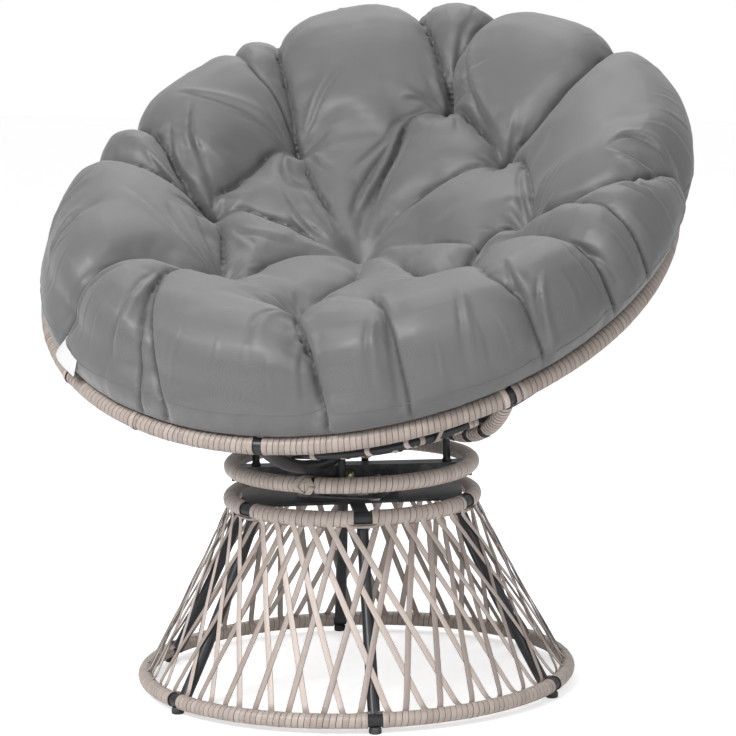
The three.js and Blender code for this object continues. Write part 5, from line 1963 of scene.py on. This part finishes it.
    def emboss(self, mesh: bpy.types.Mesh) -> None:
        """Presses the creases, folds and wrinkles into the swollen cover, and stores painted shade in the
        creases, the fold grooves and round the tufts.
        """
        points = self.calmed(mesh, self.read(mesh), 3)
        mesh.vertices.foreach_set("co", points.ravel())
        mesh.update()
        normals = self.read(mesh, "vector")
        x, y = points[:, 0], points[:, 1]
        upper = np.clip((points[:, 2] - 0.010) / 0.012, 0, 1) * np.clip((normals[:, 2] + 0.7) / 0.5, 0, 1)
        # dark: painted shade along the creases, round the tufts and in the fold grooves.
        move, dark = np.zeros(len(points)), np.zeros(len(points))
        for valley in VALLEYS:
            cut = self.cut_share * valley.draw.value[2]
            where, gap, _, share = Line(valley.line, valley.past).near(x, y, self.crease_reach)
            taper = 1.0 if valley.past else np.clip(4 * share, 0.3, 1) * np.clip(4 * (1 - share), 0.3, 1)
            move[where] -= cut * np.exp(-((gap / self.cut_width) ** 1.4)) * taper
            shade = np.exp(-((gap / self.crease_shade) ** 2)) * taper * min(1.0, cut / 0.0055)
            dark[where] = np.maximum(dark[where], shade)
        # Painted shade round each tuft.
        for tx, ty in self.tufts:
            dark = np.maximum(dark, np.exp(-(((x - tx) ** 2 + (y - ty) ** 2) / self.tuft_shade**2)))
        for fold in (*FOLDS, *self.wrinkles()):
            wide, high = fold.width / 1000, fold.height / 1000
            where, gap, side, share = Line(fold.line).near(x, y, 3 * wide)
            taper = np.sin(math.pi * np.clip(share * 0.96 + 0.03, 0, 1)) ** 0.7
            size = wide * (0.55 + 0.6 * share)
            off = gap * side * math.copysign(1.0, high)
            ridge = np.exp(-(((off - 0.55 * size) / size) ** 2))
            groove = np.exp(-(((off + 0.55 * size) / (0.6 * size)) ** 2))
            move[where] += abs(high) * taper * (ridge - 0.9 * groove)
            # Painted shade in the fold's groove.
            dark[where] = np.maximum(dark[where], 0.10 * groove * taper * abs(high) / 0.002)
        points = self.calmed(mesh, points + normals * (move * upper)[:, None], 1)
        mesh.vertices.foreach_set("co", points.ravel())
        # The painted shade is stored as the cover's crease value.
        creases = mesh.attributes.new("crease", "FLOAT", "POINT")
        creases.data.foreach_set("value", (np.clip(dark, 0.0, 1.0) * upper).astype(np.float32))
        mesh.update()

    def side_at(self, tree: BVHTree, angle: float, level: float) -> tuple[Vector, Vector, Vector]:
        """A place on the cover's side.

        Args:
            tree: the cover's faces.
            angle: where it is, from +X.
            level: its height.

        Returns:
            The place, the cover's normal there, and the level direction outwards.
        """
        away = Vector(heading(angle))
        start = Vector((self.shift[0] * 0.8, self.shift[1] * 0.8, level)) + away * 0.7
        hit, normal, _, _ = tree.ray_cast(start, -away)
        return hit, normal, away

    def build_seam(self, tree: BVHTree) -> None:
        """The bead round the cover's side where the top panel meets the side band."""
        line, out = [], []
        for angle in np.linspace(0.0, TURN, 900, endpoint=False):
            level = self.seam_height + 0.004 * math.sin(3 * angle + 0.6) + 0.0012 * math.sin(23 * angle)
            hit, normal, _ = self.side_at(tree, angle, level)
            line.append(hit - normal * 0.0003)
            out.append(normal)
        course = Course.through(smoothed(np.array(line), 1), np.array(out), closed=True)
        shape = Shape()
        shape.grid(course.tube(self.bead, 8), ring=True)
        shape.piece("cushion_seam", self.placement, BINDING, Body.SEAT)

    def build_tag(self, tree: BVHTree) -> None:
        """The blank tag that is sewn into the seam."""
        wide, long = self.tag_size
        shares = np.linspace(0.0, 1.0, 11)
        rows = []
        for down in shares:
            row = []
            for along in shares:
                angle = self.tag_angle + (along - 0.5) * wide / 0.455
                hit, _, away = self.side_at(tree, angle, self.seam_height + 0.001 - 0.86 * long * down)
                lift = 0.0007 + 0.0105 * down**1.2 + 0.0012 * math.sin(3.0 * along + 2.0 * down)
                row.append(hit + away * lift)
            rows.append(row)
        sheet = np.array(rows)
        for _ in range(2):
            sheet[1:, 1:-1] = 0.25 * sheet[1:, :-2] + 0.5 * sheet[1:, 1:-1] + 0.25 * sheet[1:, 2:]
        half = heading(self.tag_angle) * 0.00025
        shape = Shape()
        shape.grid(np.concatenate([sheet + half, (sheet - half)[:, ::-1]], axis=1), caps=True)
        tag = shape.piece("cushion_tag", self.placement, LABEL, Body.SEAT, crease=50)

    def build(self) -> None:
        """The cover and what is sewn to it."""
        piece = bpy.data.objects.new("cushion_cover", self.start_mesh())
        bpy.context.scene.collection.objects.link(piece)
        bpy.context.view_layer.objects.active = piece
        remesh = piece.modifiers.new("even", "REMESH")
        remesh.mode = "VOXEL"
        remesh.voxel_size = self.voxel
        bpy.ops.object.modifier_apply(modifier=remesh.name)
        self.swell(piece)
        finer = piece.modifiers.new("finer", "SUBSURF")
        finer.levels = finer.render_levels = 1
        bpy.ops.object.modifier_apply(modifier=finer.name)
        mesh = piece.data
        self.emboss(mesh)
        tree = BVHTree.FromPolygons(self.read(mesh).tolist(), [tuple(face.vertices) for face in mesh.polygons])
        self.build_tag(tree)
        mesh.transform(self.placement.matrix())
        mesh.polygons.foreach_set("use_smooth", np.ones(len(mesh.polygons), dtype=bool))
        mesh.materials.clear()
        mesh.materials.append(SATIN.material())
        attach(piece, Body.SEAT.value)
        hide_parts("cushion")
        self.build_seam(tree)
        log.info("cushion_cover: %d points", len(mesh.vertices))


@dataclass
class Studio:
    """The floor, the soft lights and the camera."""

    centre: Vector
    camera_place: Vector
    right: Vector
    up: Vector
    camera: tuple[tuple[str, object], ...] = (
        *(("sensor_fit", "HORIZONTAL"), ("sensor_width", 36.0), ("lens", 168.06)),
        *(("shift_x", 0.0484), ("shift_y", -0.0014), ("clip_end", 60.0)),
    )
    lamps: tuple[tuple[str, tuple[float, float, float], float, float], ...] = (
        ("key_lamp", (-0.7, -2.6, 2.5), 1.1, 74.0),
        ("fill_lamp", (2.4, -2.6, 1.4), 2.0, 15.0),
        ("top_lamp", (-0.6, 1.4, 3.0), 1.6, 26.0),
    )
    world_light: float = 0.45

    def build_floor(self) -> None:
        """A wide level sheet."""
        shape = Shape()
        lines = np.linspace(-9.0, 9.0, 13)
        x, y = np.meshgrid(lines, lines, indexing="ij")
        shape.grid(np.stack([x, y, np.full(x.shape, -0.0004)], axis=-1), tube=False)
        mesh = shape.mesh("floor", ROW_FRAME)
        mesh.materials.append(FLOOR.material())
        floor = bpy.data.objects.new("studio_floor", mesh)
        bpy.context.scene.collection.objects.link(floor)

    def light(self, name: str, place: Sequence[float], size: float, power: float) -> None:
        """A soft square lamp that looks at the chair."""
        data = bpy.data.lights.new(name, "AREA")
        data.shape = "SQUARE"
        data.size = size
        data.energy = power
        lamp = bpy.data.objects.new(name, data)
        lamp.location = place
        aim = self.centre - Vector(place)
        lamp.rotation_euler = aim.to_track_quat("-Z", "Y").to_euler()
        bpy.context.scene.collection.objects.link(lamp)

    def light_world(self, world: bpy.types.World) -> None:
        """White behind the chair, and a somewhat softer white that lights it."""
        sketch = Sketch(world.node_tree)
        sketch.tree.nodes.clear()
        seen = sketch.node("ShaderNodeBackground")
        cast = sketch.node("ShaderNodeBackground")
        for backdrop, strength in ((seen, 1.0), (cast, self.world_light)):
            backdrop.inputs[0].default_value = (1.0, 1.0, 1.0, 1.0)
            backdrop.inputs[1].default_value = strength
        mix = sketch.node("ShaderNodeMixShader")
        sketch.link(sketch.node("ShaderNodeLightPath").outputs["Is Camera Ray"], mix.inputs[0])
        sketch.link(cast.outputs[0], mix.inputs[1])
        sketch.link(seen.outputs[0], mix.inputs[2])
        sketch.link(mix.outputs[0], sketch.node("ShaderNodeOutputWorld").inputs[0])

    def build(self) -> None:
        """All of it."""
        self.build_floor()
        world = bpy.data.worlds.new("studio")
        world.use_nodes = True
        self.light_world(world)
        bpy.context.scene.world = world
        bpy.context.scene.view_settings.view_transform = "Standard"
        for lamp in self.lamps:
            self.light(*lamp)
        data = bpy.data.cameras.new("photo_camera")
        for name, value in self.camera:
            setattr(data, name, value)
        camera = bpy.data.objects.new("photo_camera", data)
        back = self.right.cross(self.up)
        turn = Matrix((self.right, self.up, back)).transposed().to_4x4()
        camera.matrix_world = Matrix.Translation(self.camera_place) @ turn
        bpy.context.scene.collection.objects.link(camera)
        bpy.context.scene.camera = camera


def photo_camera() -> tuple[Vector, Vector, Vector]:
    """The camera's place and directions, from the fitted view of the photograph.

    Returns:
        Its place about the turning axis, and its right and up directions.
    """
    pitch, roll, turn = math.radians(9.048), math.radians(-1.409), math.radians(20.52)
    distance, across, height = 4.993, -0.0244, 0.4661
    place = Vector((across, -distance * math.cos(pitch), distance * math.sin(pitch) + height))
    ahead = Vector((0.0, math.cos(pitch), -math.sin(pitch)))
    level = Vector((1.0, 0.0, 0.0))
    raised = level.cross(ahead)
    right = level * math.cos(roll) + raised * math.sin(roll)
    up = raised * math.cos(roll) - level * math.sin(roll)
    spin = Matrix.Rotation(turn, 3, "Z")
    return spin @ place, spin @ right, spin @ up


def main() -> None:
    """Builds the chair and its studio."""
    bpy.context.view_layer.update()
    joint = frame["joints"][0]["pos_m"]
    axis = Vector((joint[0], joint[1], 0.0))
    level = Placement((axis.x, axis.y, 0.0))
    tilted = Placement((axis.x, axis.y + 0.047, 0.629), math.radians(27.9))
    place, right, up = photo_camera()
    Studio(Vector((0.0, 0.0, 0.5)), place + axis, right, up).build()
    for part in (Base(level), Turntable(level), Bowl(tilted), Cushion(tilted)):
        part.build()
        log.info("%s built", type(part).__name__)


if __name__ == "__main__":
    main()
